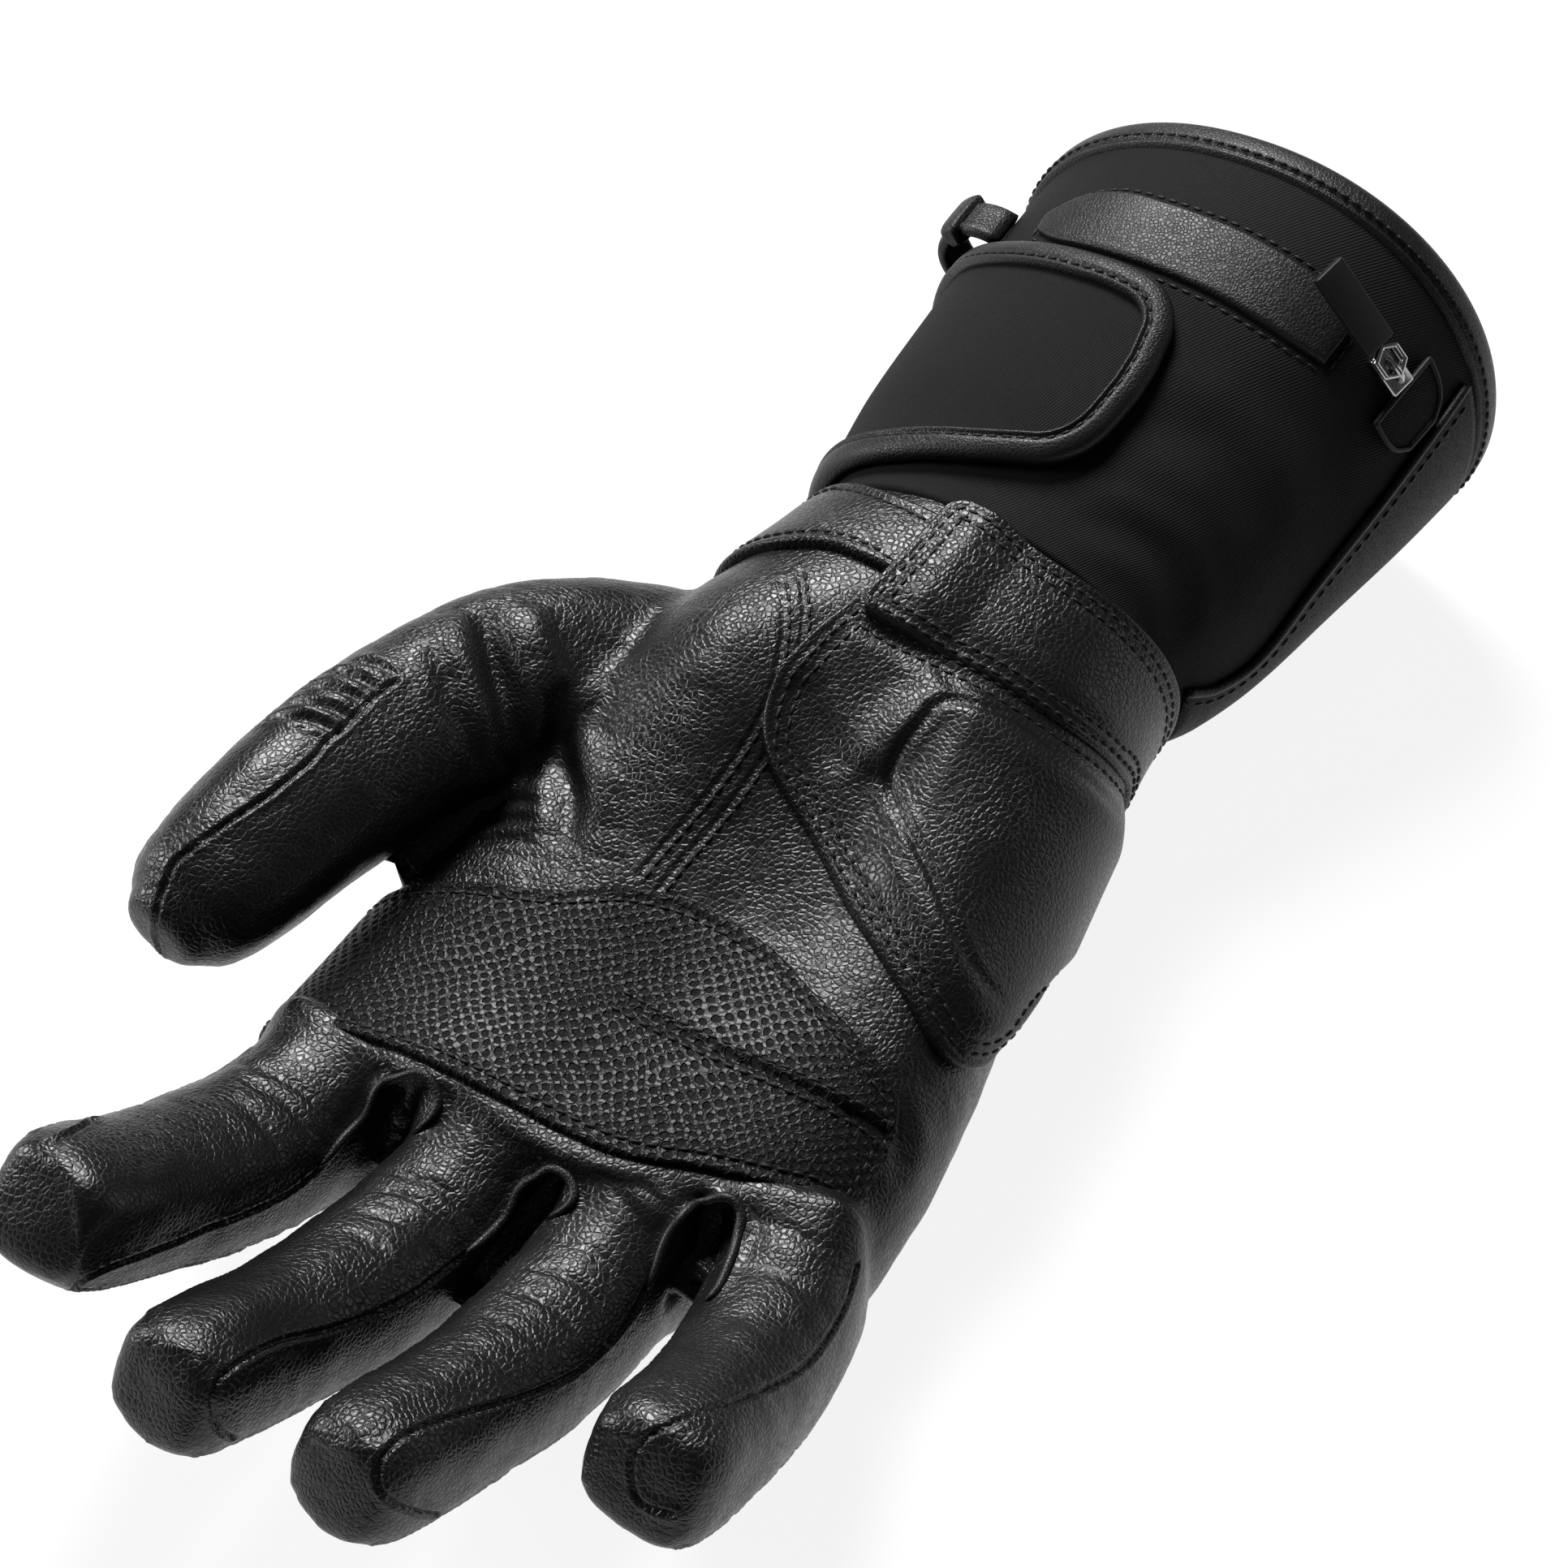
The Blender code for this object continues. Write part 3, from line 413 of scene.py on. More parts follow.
class Digit:
    """Outer surface of a finger or the thumb: oval sections along a smooth path in the frame."""

    def __init__(self, shares: Sequence[float], centres: Any, sides: Any, sections: Any) -> None:
        """Keep the path's points, the directions across it and the ovals, one of each for each share."""
        self.shares = np.asarray(shares, float)
        self.rows = np.concatenate((centres, sides, sections), axis=1)

    def axes(self, share: np.ndarray) -> tuple[np.ndarray, np.ndarray, np.ndarray, np.ndarray]:
        """Centre, heading, side and up at shares of the length."""
        step = 0.02
        rows = smooth_between(self.shares, self.rows, share)
        ahead = smooth_between(self.shares, self.rows[:, :3], np.minimum(share + step, self.shares[-1]))
        behind = smooth_between(self.shares, self.rows[:, :3], np.maximum(share - step, 0.0))
        heading = unit(ahead - behind)
        side = rows[:, 3:6]
        side = unit(side - heading * (side * heading).sum(1, keepdims=True))
        return rows[:, :3], heading, side, np.cross(heading, side)

    def point(self, share: Any, angle: Any, grow: Any = 0.0) -> np.ndarray:
        """Points of the surface at shares of the length and angles round it (90 degrees is the palm face)."""
        share, angle, grow = np.broadcast_arrays(*(np.asarray(v, float) for v in (share, angle, grow)))
        shape = share.shape
        share, angle, grow = share.ravel(), angle.ravel(), grow.ravel()
        centre, _, side, up = self.axes(share)
        width, thickness, square = smooth_between(self.shares, self.rows[:, 6:], share).T
        a, b = oval(angle, width / 2 + grow, thickness / 2 + grow, square)
        points = centre + side * a[:, None] + up * b[:, None]
        return points.reshape(*shape, 3)


def finger_digit(row: tuple, shift: np.ndarray) -> Digit:
    """Surface of one finger from its table row.

    Args:
        row: The finger's row of FINGERS.
        shift: Way from the table's places to the frame.

    Returns:
        The surface from the root to the tip.
    """
    _, left, right, length, width, yaw, yaw_added, pitch, pitch_added = row
    length *= FINGER_LENGTH
    root_x = (left + right) / 2 * PALM_WIDTH
    place = np.array((root_x, knuckle_line(np.array((root_x,)))[0], ROOT_HEIGHT * PALM_THICKNESS))
    shares, centres, sides, sections = [], [], [], []
    reached = 0.0
    for share, wide, thick, square in FINGER_SECTIONS:
        turn, rise = math.radians(yaw + yaw_added * share), math.radians(pitch + pitch_added * share)
        ahead = np.array((math.sin(turn) * math.cos(rise), -math.cos(turn) * math.cos(rise), math.sin(rise)))
        place = place + ahead * (share - reached) * length
        reached = share
        full_width = (right - left) * PALM_WIDTH if share == 0.0 else wide * width * FINGER_WIDTH
        shares.append(share)
        centres.append(place + shift)
        sides.append((math.cos(turn), math.sin(turn), 0.0))
        sections.append((full_width, thick * FINGER_THICKNESS, square))
    return Digit(shares, np.array(centres), np.array(sides), np.array(sections))


def thumb_digit(shift: np.ndarray) -> Digit:
    """Surface of the thumb from its table."""
    roll = math.radians(THUMB_ROLL)
    centres = [
        np.array((across * PALM_WIDTH, -down * HAND_LENGTH, height * PALM_THICKNESS)) + shift
        for across, down, height, *_ in THUMB
    ]
    sections = [(wide * THUMB_WIDTH, thick * THUMB_THICKNESS, square) for *_, wide, thick, square in THUMB]
    sides = [(math.cos(roll), 0.0, -math.sin(roll))] * len(THUMB)
    return Digit(np.linspace(0.0, 1.0, len(THUMB)), np.array(centres), np.array(sides), np.array(sections))


# Shader building


# Numbers of a colour mix node's sockets: factor, first and second colour, and the result
MIX_INPUTS = (0, 6, 7)
MIX_OUTPUT = 2


class Value:
    """A socket's value in a node tree, with arithmetic that adds Math nodes."""

    def __init__(self, tree: "Tree", socket: Any) -> None:
        """Keep the socket that holds the value."""
        self.tree = tree
        self.socket = socket

    def _math(self, operation: str, *values: Any) -> "Value":
        """One Math node on this tree."""
        return self.tree.node("ShaderNodeMath", {"operation": operation}, dict(enumerate(values)))

    def __add__(self, other: Any) -> "Value":
        """Sum of both."""
        return self._math("ADD", self, other)

    def __radd__(self, other: Any) -> "Value":
        """Sum of both."""
        return self._math("ADD", other, self)

    def __sub__(self, other: Any) -> "Value":
        """The other value taken from this one."""
        return self._math("SUBTRACT", self, other)

    def __rsub__(self, other: Any) -> "Value":
        """This value taken from the other one."""
        return self._math("SUBTRACT", other, self)

    def __mul__(self, other: Any) -> "Value":
        """Product of both."""
        return self._math("MULTIPLY", self, other)

    def __truediv__(self, other: Any) -> "Value":
        """This value divided by the other one."""
        return self._math("DIVIDE", self, other)

    def __pow__(self, other: Any) -> "Value":
        """This value raised to the other one."""
        return self._math("POWER", self, other)

    def sine(self) -> "Value":
        """Sine of the value in radians."""
        return self._math("SINE", self)

    def fraction(self) -> "Value":
        """What is left past the whole number below."""
        return self._math("FRACT", self)

    def floor(self) -> "Value":
        """The whole number below."""
        return self._math("FLOOR", self)

    def ramp(self, low: float, high: float) -> "Value":
        """Smooth rise from 0 at low to 1 at high."""
        inputs = {"Value": self, "From Min": low, "From Max": high}
        return self.tree.node("ShaderNodeMapRange", {"interpolation_type": "SMOOTHSTEP"}, inputs)


class Tree:
    """Node tree of one material with a Principled shader."""

    def __init__(self, name: str) -> None:
        """Start the material."""
        self.material = bpy.data.materials.new(name)
        self.material.use_nodes = True
        self.nodes = self.material.node_tree.nodes
        self.links = self.material.node_tree.links
        self.shader = self.nodes["Principled BSDF"]

    def node(
        self, kind: str, settings: Optional[dict] = None, inputs: Optional[dict] = None, output: Any = 0
    ) -> Value:
        """Add a node.

        Args:
            kind: Type of the node.
            settings: Its properties, set first.
            inputs: Values or links of its sockets, by name or number.
            output: Name or number of the socket returned.

        Returns:
            The wrapped output.
        """
        node = self.nodes.new(kind)
        for key, value in (settings or {}).items():
            setattr(node, key, value)
        for key, value in (inputs or {}).items():
            self.join(node.inputs[key], value)
        return Value(self, node.outputs[output])

    def join(self, socket: Any, value: Any) -> None:
        """Link a wrapped value to a socket, or set the socket to a constant."""
        if isinstance(value, Value):
            self.links.new(value.socket, socket)
        else:
            socket.default_value = value

    def mix(self, factor: Any, first: Any, second: Any) -> Value:
        """Colour between two colours."""
        return self.node(
            "ShaderNodeMix", {"data_type": "RGBA"}, dict(zip(MIX_INPUTS, (factor, first, second))), MIX_OUTPUT
        )

    def place(self) -> Value:
        """Object coordinates in metres."""
        return self.node("ShaderNodeTexCoord", output="Object")

    def surface_place(self) -> Value:
        """The piece's own UV map, in metres over its surface."""
        return self.node("ShaderNodeUVMap", {"uv_map": "surface"})

    def noise(self, place: Value, scale: float, detail: float = 3.0, roughness: float = 0.55) -> Value:
        """Soft noise from 0 to 1, with so many waves a metre."""
        inputs = {"Vector": place, "Scale": scale, "Detail": detail, "Roughness": roughness}
        return self.node("ShaderNodeTexNoise", inputs=inputs)

    def cells(self, place: Value, scale: float, feature: str = "F1", output: Any = "Distance") -> Value:
        """Distances in a cell pattern with so many cells a metre."""
        inputs = {"Vector": place, "Scale": scale}
        return self.node("ShaderNodeTexVoronoi", {"feature": feature}, inputs, output)

    def shifted(self, place: Value, scale: float, reach: float) -> Value:
        """Coordinates that wander by noise, so that a pattern on them isn't regular."""
        inputs = {"Vector": place, "Scale": scale, "Detail": 2.0}
        wander = self.node("ShaderNodeTexNoise", inputs=inputs, output="Color")
        middle = {0: wander, 1: (0.5, 0.5, 0.5)}
        centred = self.node("ShaderNodeVectorMath", {"operation": "SUBTRACT"}, middle)
        scaled = self.node("ShaderNodeVectorMath", {"operation": "SCALE"}, {0: centred, "Scale": reach})
        return self.node("ShaderNodeVectorMath", {"operation": "ADD"}, {0: place, 1: scaled})

    def parts(self, place: Value) -> tuple[Value, Value, Value]:
        """X, Y and Z of a vector."""
        node = self.nodes.new("ShaderNodeSeparateXYZ")
        self.join(node.inputs[0], place)
        return tuple(Value(self, node.outputs[i]) for i in range(3))

    def bump(self, height: Value, distance: float) -> Value:
        """Normals of a relief whose height from 0 to 1 stands for a distance in metres."""
        return self.node("ShaderNodeBump", inputs={"Height": height, "Distance": distance, "Strength": 1.0})

    def finish(self, **sockets: Any) -> bpy.types.Material:
        """Set the shader's sockets by name, with underscores for spaces."""
        for name, value in sockets.items():
            self.join(self.shader.inputs[name.replace("_", " ")], value)
        return self.material


def grey(level: float) -> tuple:
    """Opaque grey of a linear brightness."""
    return level, level, level, 1.0


@dataclass(frozen=True)
class GrainedLeather:
    """Black goat leather with a pebbled grain whose ridges shine, and perforated where it has holes. Its
    colour is lighter on the pebbles and darker between them: partly the grain's own tone, partly painted
    shade in the grain's crevices. The holes are painted near-black, as painted shade of their depth.
    """

    name: str = "goat_leather"
    pebble: float = 0.0012
    relief: float = 0.00013
    gloss: float = 0.27
    dark: tuple = (0.0009, 0.0009, 0.0010, 1.0)
    light: tuple = (0.0070, 0.0070, 0.0073, 1.0)
    specular: float = 0.32
    wander: float = 0.45
    finer: float = 2.3
    coarse_share: float = 0.86
    broad_scale: float = 38.0
    flatter: float = 0.4
    holes: float = 0.0
    hole_wander: float = 3.2
    hole_edge: tuple = (0.18, 0.27)
    hole_depth: float = 2.4

    def material(self) -> bpy.types.Material:
        """Build the material."""
        tree = Tree(self.name)
        place = tree.place()
        wandering = tree.shifted(place, 1.0 / (3 * self.pebble), self.pebble * self.wander)
        coarse = tree.cells(wandering, 1.0 / self.pebble, "DISTANCE_TO_EDGE")
        fine = tree.cells(wandering, self.finer / self.pebble, "DISTANCE_TO_EDGE")
        pebbles = coarse.ramp(0.0, 0.26) ** 0.7 * self.coarse_share
        pebbles = pebbles + fine.ramp(0.0, 0.36) * (1.0 - self.coarse_share)
        broad = tree.noise(place, self.broad_scale, 4.0)
        height = pebbles * (broad.ramp(0.30, 0.75) * (1.0 - self.flatter) + self.flatter)
        # Colour: lighter on the pebbles and darker in the crevices between them (partly grain tone, partly
        # painted shade), with a random broad tone.
        colour = tree.mix(pebbles * 0.65 + broad * 0.35, self.dark, self.light)
        rough = (1.0 - pebbles) * 0.16 + broad * 0.10 + self.gloss - 0.05
        if self.holes:
            mask = self.hole_mask(tree)
            height = height * (1.0 - mask) * 0.5 - mask * self.hole_depth
            # Painted shade: the holes are coloured near-black for the shade inside their depth.
            colour = tree.mix(mask, colour, grey(0.0006))
            rough = rough + mask * 0.4
        normal = tree.bump(height, self.relief)
        return tree.finish(
            Base_Color=colour, Roughness=rough, Normal=normal, Specular_IOR_Level=self.specular
        )

    def hole_mask(self, tree: Tree) -> Value:
        """Round holes in staggered rows, 1 inside them, on the surface map."""
        u, v, _ = tree.parts(tree.shifted(tree.surface_place(), 40.0, self.holes * self.hole_wander))
        row = v / (self.holes * 0.5)
        offset = (row.floor() * 0.5).fraction()
        across = (u / self.holes + offset).fraction() - 0.5
        along = row.fraction() - 0.5
        distance = (across * across + along * along * 0.25) ** 0.5
        return 1.0 - distance.ramp(*self.hole_edge)


@dataclass(frozen=True)
class CuffFabric:
    """Near-black nylon with a fine twill, matte."""

    name: str = "cuff_fabric"
    pitch: float = 0.00060
    relief: float = 0.00022
    fuzz_scale: float = 900.0
    broad_scale: float = 25.0
    roughness: float = 0.66
    specular: float = 0.13
    dark: tuple = (0.0014, 0.0014, 0.0015, 1.0)
    light: tuple = (0.0062, 0.0062, 0.0065, 1.0)

    def material(self) -> bpy.types.Material:
        """Build the material."""
        tree = Tree(self.name)
        u, v, _ = tree.parts(tree.surface_place())
        turn = 2 * math.pi / self.pitch
        warp = ((u + v * 0.5) * turn).sine() * 0.5 + 0.5
        weft = ((v - u * 0.5) * turn).sine() * 0.5 + 0.5
        weave = warp * 0.45 + weft * 0.25 + 0.15
        fuzz = tree.noise(tree.place(), self.fuzz_scale, 4.0)
        broad = tree.noise(tree.place(), self.broad_scale, 3.0)
        colour = tree.mix(weave * 0.6 + fuzz * 0.25 + broad * 0.15, self.dark, self.light)
        normal = tree.bump(weave * 0.8 + fuzz * 0.2, self.relief)
        rough = self.roughness + fuzz * 0.2
        return tree.finish(
            Base_Color=colour, Roughness=rough, Normal=normal, Specular_IOR_Level=self.specular
        )


@dataclass(frozen=True)
class PlainFinish:
    """A worn plain finish: metal, rubber, thread or floor."""

    name: str
    dark: tuple
    light: tuple
    gloss: float
    metallic: float = 0.0
    grain: float = 600.0
    broad_scale: float = 90.0
    relief: float = 0.00003
    specular: float = 0.5
    glow: float = 0.0

    def material(self) -> bpy.types.Material:
        """Build the material."""
        tree = Tree(self.name)
        noise_value = tree.noise(tree.place(), self.grain, 4.0)
        broad = tree.noise(tree.place(), self.broad_scale, 3.0)
        return tree.finish(
            Base_Color=tree.mix(noise_value * 0.6 + broad * 0.4, self.dark, self.light),
            Roughness=noise_value * 0.16 + self.gloss - 0.08,
            Metallic=self.metallic,
            Normal=tree.bump(noise_value, self.relief),
            Specular_IOR_Level=self.specular,
            Emission_Color=grey(1.0),
            Emission_Strength=self.glow,
        )


class Slot(Enum):
    """Material slots of the record."""

    LEATHER = "goat_leather"
    PERFORATED = "perforated_leather"
    BINDING = "binding_leather"
    FABRIC = "cuff_fabric"
    METAL = "gunmetal"
    RUBBER = "rubber"


class Wardrobe:
    """Every finish of the glove, each built once."""

    def __init__(self) -> None:
        """Build the finishes."""
        self.leather = GrainedLeather().material()
        self.perforated = GrainedLeather(
            "perforated_leather", relief=0.00027, gloss=0.32, light=(0.0030, 0.0030, 0.0032, 1.0),
            specular=0.18, holes=0.0030,
        ).material()
        self.binding = GrainedLeather(
            "binding_leather", pebble=0.0008, relief=0.00008, gloss=0.36, specular=0.28
        ).material()
        # Painted shade: the side panel is the same goat leather, given a darker and duller copy for the shade
        # it lies in.
        self.panel = GrainedLeather(
            "shaded_panel_leather", pebble=0.0010, relief=0.00008, gloss=0.50, light=(0.0035, 0.0035, 0.0037, 1.0),
            specular=0.12,
        ).material()
        self.fabric = CuffFabric().material()
        self.thread = PlainFinish("thread", grey(0.001), grey(0.005), 0.55, specular=0.22).material()
        self.metal = PlainFinish("gunmetal", grey(0.20), grey(0.55), 0.20, metallic=1.0).material()
        self.rubber = PlainFinish("rubber", grey(0.002), grey(0.005), 0.56, specular=0.25).material()
        self.floor = PlainFinish("floor", grey(0.12), grey(0.13), 0.7, specular=0.0, glow=0.88).material()


# Mesh building


def new_object(
    name: str, vertices: np.ndarray, faces: Sequence, material: bpy.types.Material
) -> bpy.types.Object:
    """Object of a mesh given by its points and faces, shaded smooth."""
    mesh = bpy.data.meshes.new(name)
    mesh.from_pydata([tuple(v) for v in vertices], [], [tuple(int(i) for i in f) for f in faces])
    mesh.materials.append(material)
    mesh.shade_smooth()
    piece = bpy.data.objects.new(name, mesh)
    bpy.context.scene.collection.objects.link(piece)
    return piece


def use_only(piece: bpy.types.Object) -> None:
    """Select one object alone and make it active."""
    bpy.ops.object.select_all(action="DESELECT")
    piece.select_set(True)
    bpy.context.view_layer.objects.active = piece


def seat(piece: bpy.types.Object, slot: Slot, *nodes: str) -> None:
    """Let a piece ride on the glove and stand for CAD nodes."""
    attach(piece, "root")
    if nodes:
        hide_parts(*nodes)
    log.info("%s: %d faces", piece.name, len(piece.data.polygons))


def closed_tube(rings: np.ndarray) -> tuple[np.ndarray, list]:
    """Points and faces of a closed tube through rings of points, with a fan at each end.

    Args:
        rings: Rings of points, the same number in each.

    Returns:
        The points and the faces.
    """
    count, sides, _ = rings.shape
    faces = []
    for here in range(0, (count - 1) * sides, sides):
        for side in range(sides):
            after = (side + 1) % sides
            faces.append((here + side, here + after, here + sides + after, here + sides + side))
    first, last, far = count * sides, count * sides + 1, (count - 1) * sides
    for side in range(sides):
        after = (side + 1) % sides
        faces.append((first, after, side))
        faces.append((last, far + side, far + after))
    return np.concatenate((rings.reshape(-1, 3), [rings[0].mean(0), rings[-1].mean(0)])), faces


def joined_tubes(tubes: Sequence[np.ndarray]) -> tuple[np.ndarray, list]:
    """Points and faces of several closed tubes as one mesh."""
    vertices, faces, start = [], [], 0
    for rings in tubes:
        points, sides = closed_tube(rings)
        vertices.append(points)
        faces += [tuple(corner + start for corner in side) for side in sides]
        start += len(points)
    return np.concatenate(vertices), faces


def turn_outwards(piece: bpy.types.Object, merge: float = 0.0) -> None:
    """Turn every face of a closed piece outwards, after joining points closer than a distance."""
    use_only(piece)
    bpy.ops.object.mode_set(mode="EDIT")
    bpy.ops.mesh.select_all(action="SELECT")
    if merge:
        bpy.ops.mesh.remove_doubles(threshold=merge)
    bpy.ops.mesh.normals_make_consistent(inside=False)
    bpy.ops.object.mode_set(mode="OBJECT")


def mesh_points(mesh: bpy.types.Mesh) -> np.ndarray:
    """Points of a mesh."""
    points = np.empty(len(mesh.vertices) * 3, np.float32)
    mesh.vertices.foreach_get("co", points)
    return points.reshape(-1, 3).astype(float)


def set_points(mesh: bpy.types.Mesh, points: np.ndarray) -> None:
    """Move the points of a mesh."""
    mesh.vertices.foreach_set("co", points.astype(np.float32).ravel())
    mesh.update()


def mesh_normals(mesh: bpy.types.Mesh) -> np.ndarray:
    """Normals at the points of a mesh."""
    normals = np.empty(len(mesh.vertices) * 3, np.float32)
    mesh.vertices.foreach_get("normal", normals)
    return normals.reshape(-1, 3).astype(float)


def mesh_edges(mesh: bpy.types.Mesh) -> np.ndarray:
    """Pairs of points that the edges join."""
    edges = np.empty(len(mesh.edges) * 2, np.int32)
    mesh.edges.foreach_get("vertices", edges)
    return edges.reshape(-1, 2)


def relax(
    points: np.ndarray, edges: np.ndarray, rounds: int, weight: Any = 0.5, back: float = 0.0
) -> np.ndarray:
    """Smooth points along the edges that join them.

    Args:
        points: Points to smooth.
        edges: Pairs of joined points.
        rounds: How often.
        weight: How far each goes to the middle of its neighbours, one value or one a point.
        back: How far each then comes back, which keeps the volume.

    Returns:
        The smoothed points.
    """
    count = np.bincount(edges.ravel(), minlength=len(points)).astype(float)[:, None]
    weight = np.broadcast_to(np.asarray(weight, float).reshape(-1, 1), (len(points), 1))
    for _ in range(rounds):
        for amount in (weight, -back * weight) if back else (weight,):
            total = np.zeros_like(points)
            for axis in range(3):
                total[:, axis] += np.bincount(edges[:, 0], points[edges[:, 1], axis], len(points))
                total[:, axis] += np.bincount(edges[:, 1], points[edges[:, 0], axis], len(points))
            points = points + amount * (total / np.maximum(count, 1.0) - points)
    return points


def near_path(
    points: np.ndarray, path: np.ndarray, reach: float
) -> tuple[np.ndarray, np.ndarray, np.ndarray]:
    """Points near a path.

    Args:
        points: Points to test.
        path: Points along the path.
        reach: Largest distance.

    Returns:
        Indices of the near points, their distances, and their shares along the path.
    """
    low, high = path.min(0) - reach, path.max(0) + reach
    chosen = np.flatnonzero(np.all((points > low) & (points < high), axis=1))
    if not len(chosen):
        return chosen, np.zeros(0), np.zeros(0)
    steps = np.linalg.norm(np.diff(path, axis=0), axis=1)
    lengths = np.concatenate(([0.0], np.cumsum(steps)))
    best = np.full(len(chosen), np.inf)
    share = np.zeros(len(chosen))
    here = points[chosen]
    for i in range(len(path) - 1):
        leg = path[i + 1] - path[i]
        t = np.clip(((here - path[i]) @ leg) / max(leg @ leg, 1e-12), 0.0, 1.0)
        distance = np.linalg.norm(here - (path[i] + t[:, None] * leg), axis=1)
        closer = distance < best
        best[closer] = distance[closer]
        share[closer] = (lengths[i] + t[closer] * steps[i]) / lengths[-1]
    kept = best < reach
    return chosen[kept], best[kept], share[kept]


@dataclass
class Crease:
    """A fold pressed into leather or cloth along a path, with raised lips beside it."""

    path: np.ndarray
    depth: float
    width: float
    lip: float = 0.0
    open_ends: bool = True
    reach: float = 4.0
    lip_place: float = 2.0
    end_fade: float = 0.6

    def push(self, points: np.ndarray, amount: np.ndarray) -> None:
        """Add this crease to the outward movement of each point.

        Args:
            points: Points of the surface.
            amount: Their movement so far, which this changes.
        """
        chosen, distance, share = near_path(points, self.path, self.reach * self.width)
        strength = np.sin(np.pi * np.clip(share, 0.0, 1.0)) ** self.end_fade if self.open_ends else 1.0
        valley = np.exp(-((distance / self.width) ** 2))
        lip = np.exp(-(((distance - self.lip_place * self.width) / self.width) ** 2))
        amount[chosen] += strength * (self.lip * lip - self.depth * valley)


def smooth_places(places: Sequence[tuple[float, float]], count: int) -> tuple[np.ndarray, np.ndarray]:
    """Smooth run through pairs of a place and an angle in degrees, with the angles in radians."""
    firsts, angles = zip(*places)
    steps, at = np.linspace(0.0, 1.0, len(places)), np.linspace(0.0, 1.0, count)
    return smooth_between(steps, firsts, at)[:, 0], np.radians(smooth_between(steps, angles, at)[:, 0])


def smooth_line(points: np.ndarray, rounds: int) -> np.ndarray:
    """A line of points smoothed between its ends."""
    for _ in range(rounds):
        points[1:-1] = (points[:-2] + 2 * points[1:-1] + points[2:]) / 4
    return points


def curve_through(points: Sequence, count: int) -> np.ndarray:
    """Evenly numbered points on a smooth curve through the given ones."""
    points = np.array(points, float)
    steps = np.linalg.norm(np.diff(points, axis=0), axis=1)
    stations = np.concatenate(([0.0], np.cumsum(np.maximum(steps, 1e-9))))
    return smooth_between(stations, points, np.linspace(0.0, stations[-1], count))


class Relief(Enum):
    """How a line seen in the photograph shapes the leather."""

    GROOVE = 1.0
    RIDGE = -1.0


@dataclass(frozen=True)
class SeenLine:
    """A seam, fold or roll with its sizes in millimetres, placed by pixels of the 1932 by 1932 photograph."""

    relief: Relief
    depth: float
    width: float
    lip: float
    pixels: tuple

    def crease(self, path: np.ndarray) -> Crease:
        """The crease that this line presses along its path on a surface."""
        return Crease(path, self.relief.value * self.depth * MM, self.width * MM, self.lip * MM)


@dataclass(frozen=True)
class PhotoView:
    """The camera that took the photograph, which places what is read from its pixels."""

    place: tuple = (0.2570, -0.3681, 0.6170)
    azimuth: float = 33.8
    elevation: float = 51.7
    lens: float = 88.86
    film: float = 36.0
    frame: float = 1932.0
    jump: float = 0.005

    def axes(self) -> tuple[Vector, Vector, Vector]:
        """Right, up and back of the camera."""
        a, e = math.radians(self.azimuth), math.radians(self.elevation)
        back = Vector((math.sin(a) * math.cos(e), -math.cos(a) * math.cos(e), math.sin(e)))
        right = Vector((math.cos(a), math.sin(a), 0.0))
        return right, back.cross(right), back

    def onto(self, ground: BVHTree, pixels: Sequence, count: int) -> np.ndarray:
        """Places on a surface that a line of pixels shows.

        Args:
            ground: Search tree of the surface.
            pixels: Places in the photograph.
            count: How many places to give on a smooth curve through them.

        Returns:
            The places where the rays meet the surface, up to the longest run without a jump.
        """
        right, up, back = self.axes()
        eye = Vector(self.place)
        focus = self.lens / self.film * self.frame
        found = []
        for x, y in curve_through(pixels, count).tolist():
            ray = (x - self.frame / 2) / focus * right - (y - self.frame / 2) / focus * up - back
            hit = ground.ray_cast(eye, ray.normalized())[0]
            if hit is not None:
                found.append(tuple(hit))
        found = np.array(found).reshape(-1, 3)
        if len(found) < 2:
            return found
        breaks = np.flatnonzero(np.linalg.norm(np.diff(found, axis=0), axis=1) > self.jump) + 1
        return max(np.split(found, breaks), key=len)


def press(piece: bpy.types.Object, paths: Sequence, lines: Sequence[SeenLine]) -> None:
    """Press grooves and ridges into a finished piece.

    Args:
        piece: The piece.
        paths: Where the lines lie on it.
        lines: Their relief, depth, width and lips.
    """
    points, normals = mesh_points(piece.data), mesh_normals(piece.data)
    amount = np.zeros(len(points))
    for path, line in zip(paths, lines):
        if len(path) > SHORTEST_PATH:
            line.crease(path).push(points, amount)
    set_points(piece.data, points + normals * amount[:, None])


# Lines on the heel guard: the seam round its pad, the swelling beside it and dents of the leather
PAD_SEAM = ((1240, 1238), (1200, 1190), (1140, 1060), (1097, 975), (1102, 940), (1135, 895), (1170, 864),
            (1250, 884), (1330, 950), (1378, 998))
GUARD_FOLDS = (
    SeenLine(Relief.GROOVE, 0.9, 0.9, 0.3, PAD_SEAM),
    SeenLine(Relief.RIDGE, 2.3, 4.5, 0.0, ((1070, 952), (1098, 912), (1134, 876), (1172, 846))),
    SeenLine(Relief.GROOVE, 1.2, 4.0, 0.0, ((985, 830), (1010, 880), (1045, 950))),
    SeenLine(Relief.RIDGE, 0.8, 3.5, 0.0, ((1010, 850), (1040, 900), (1070, 960))),
)

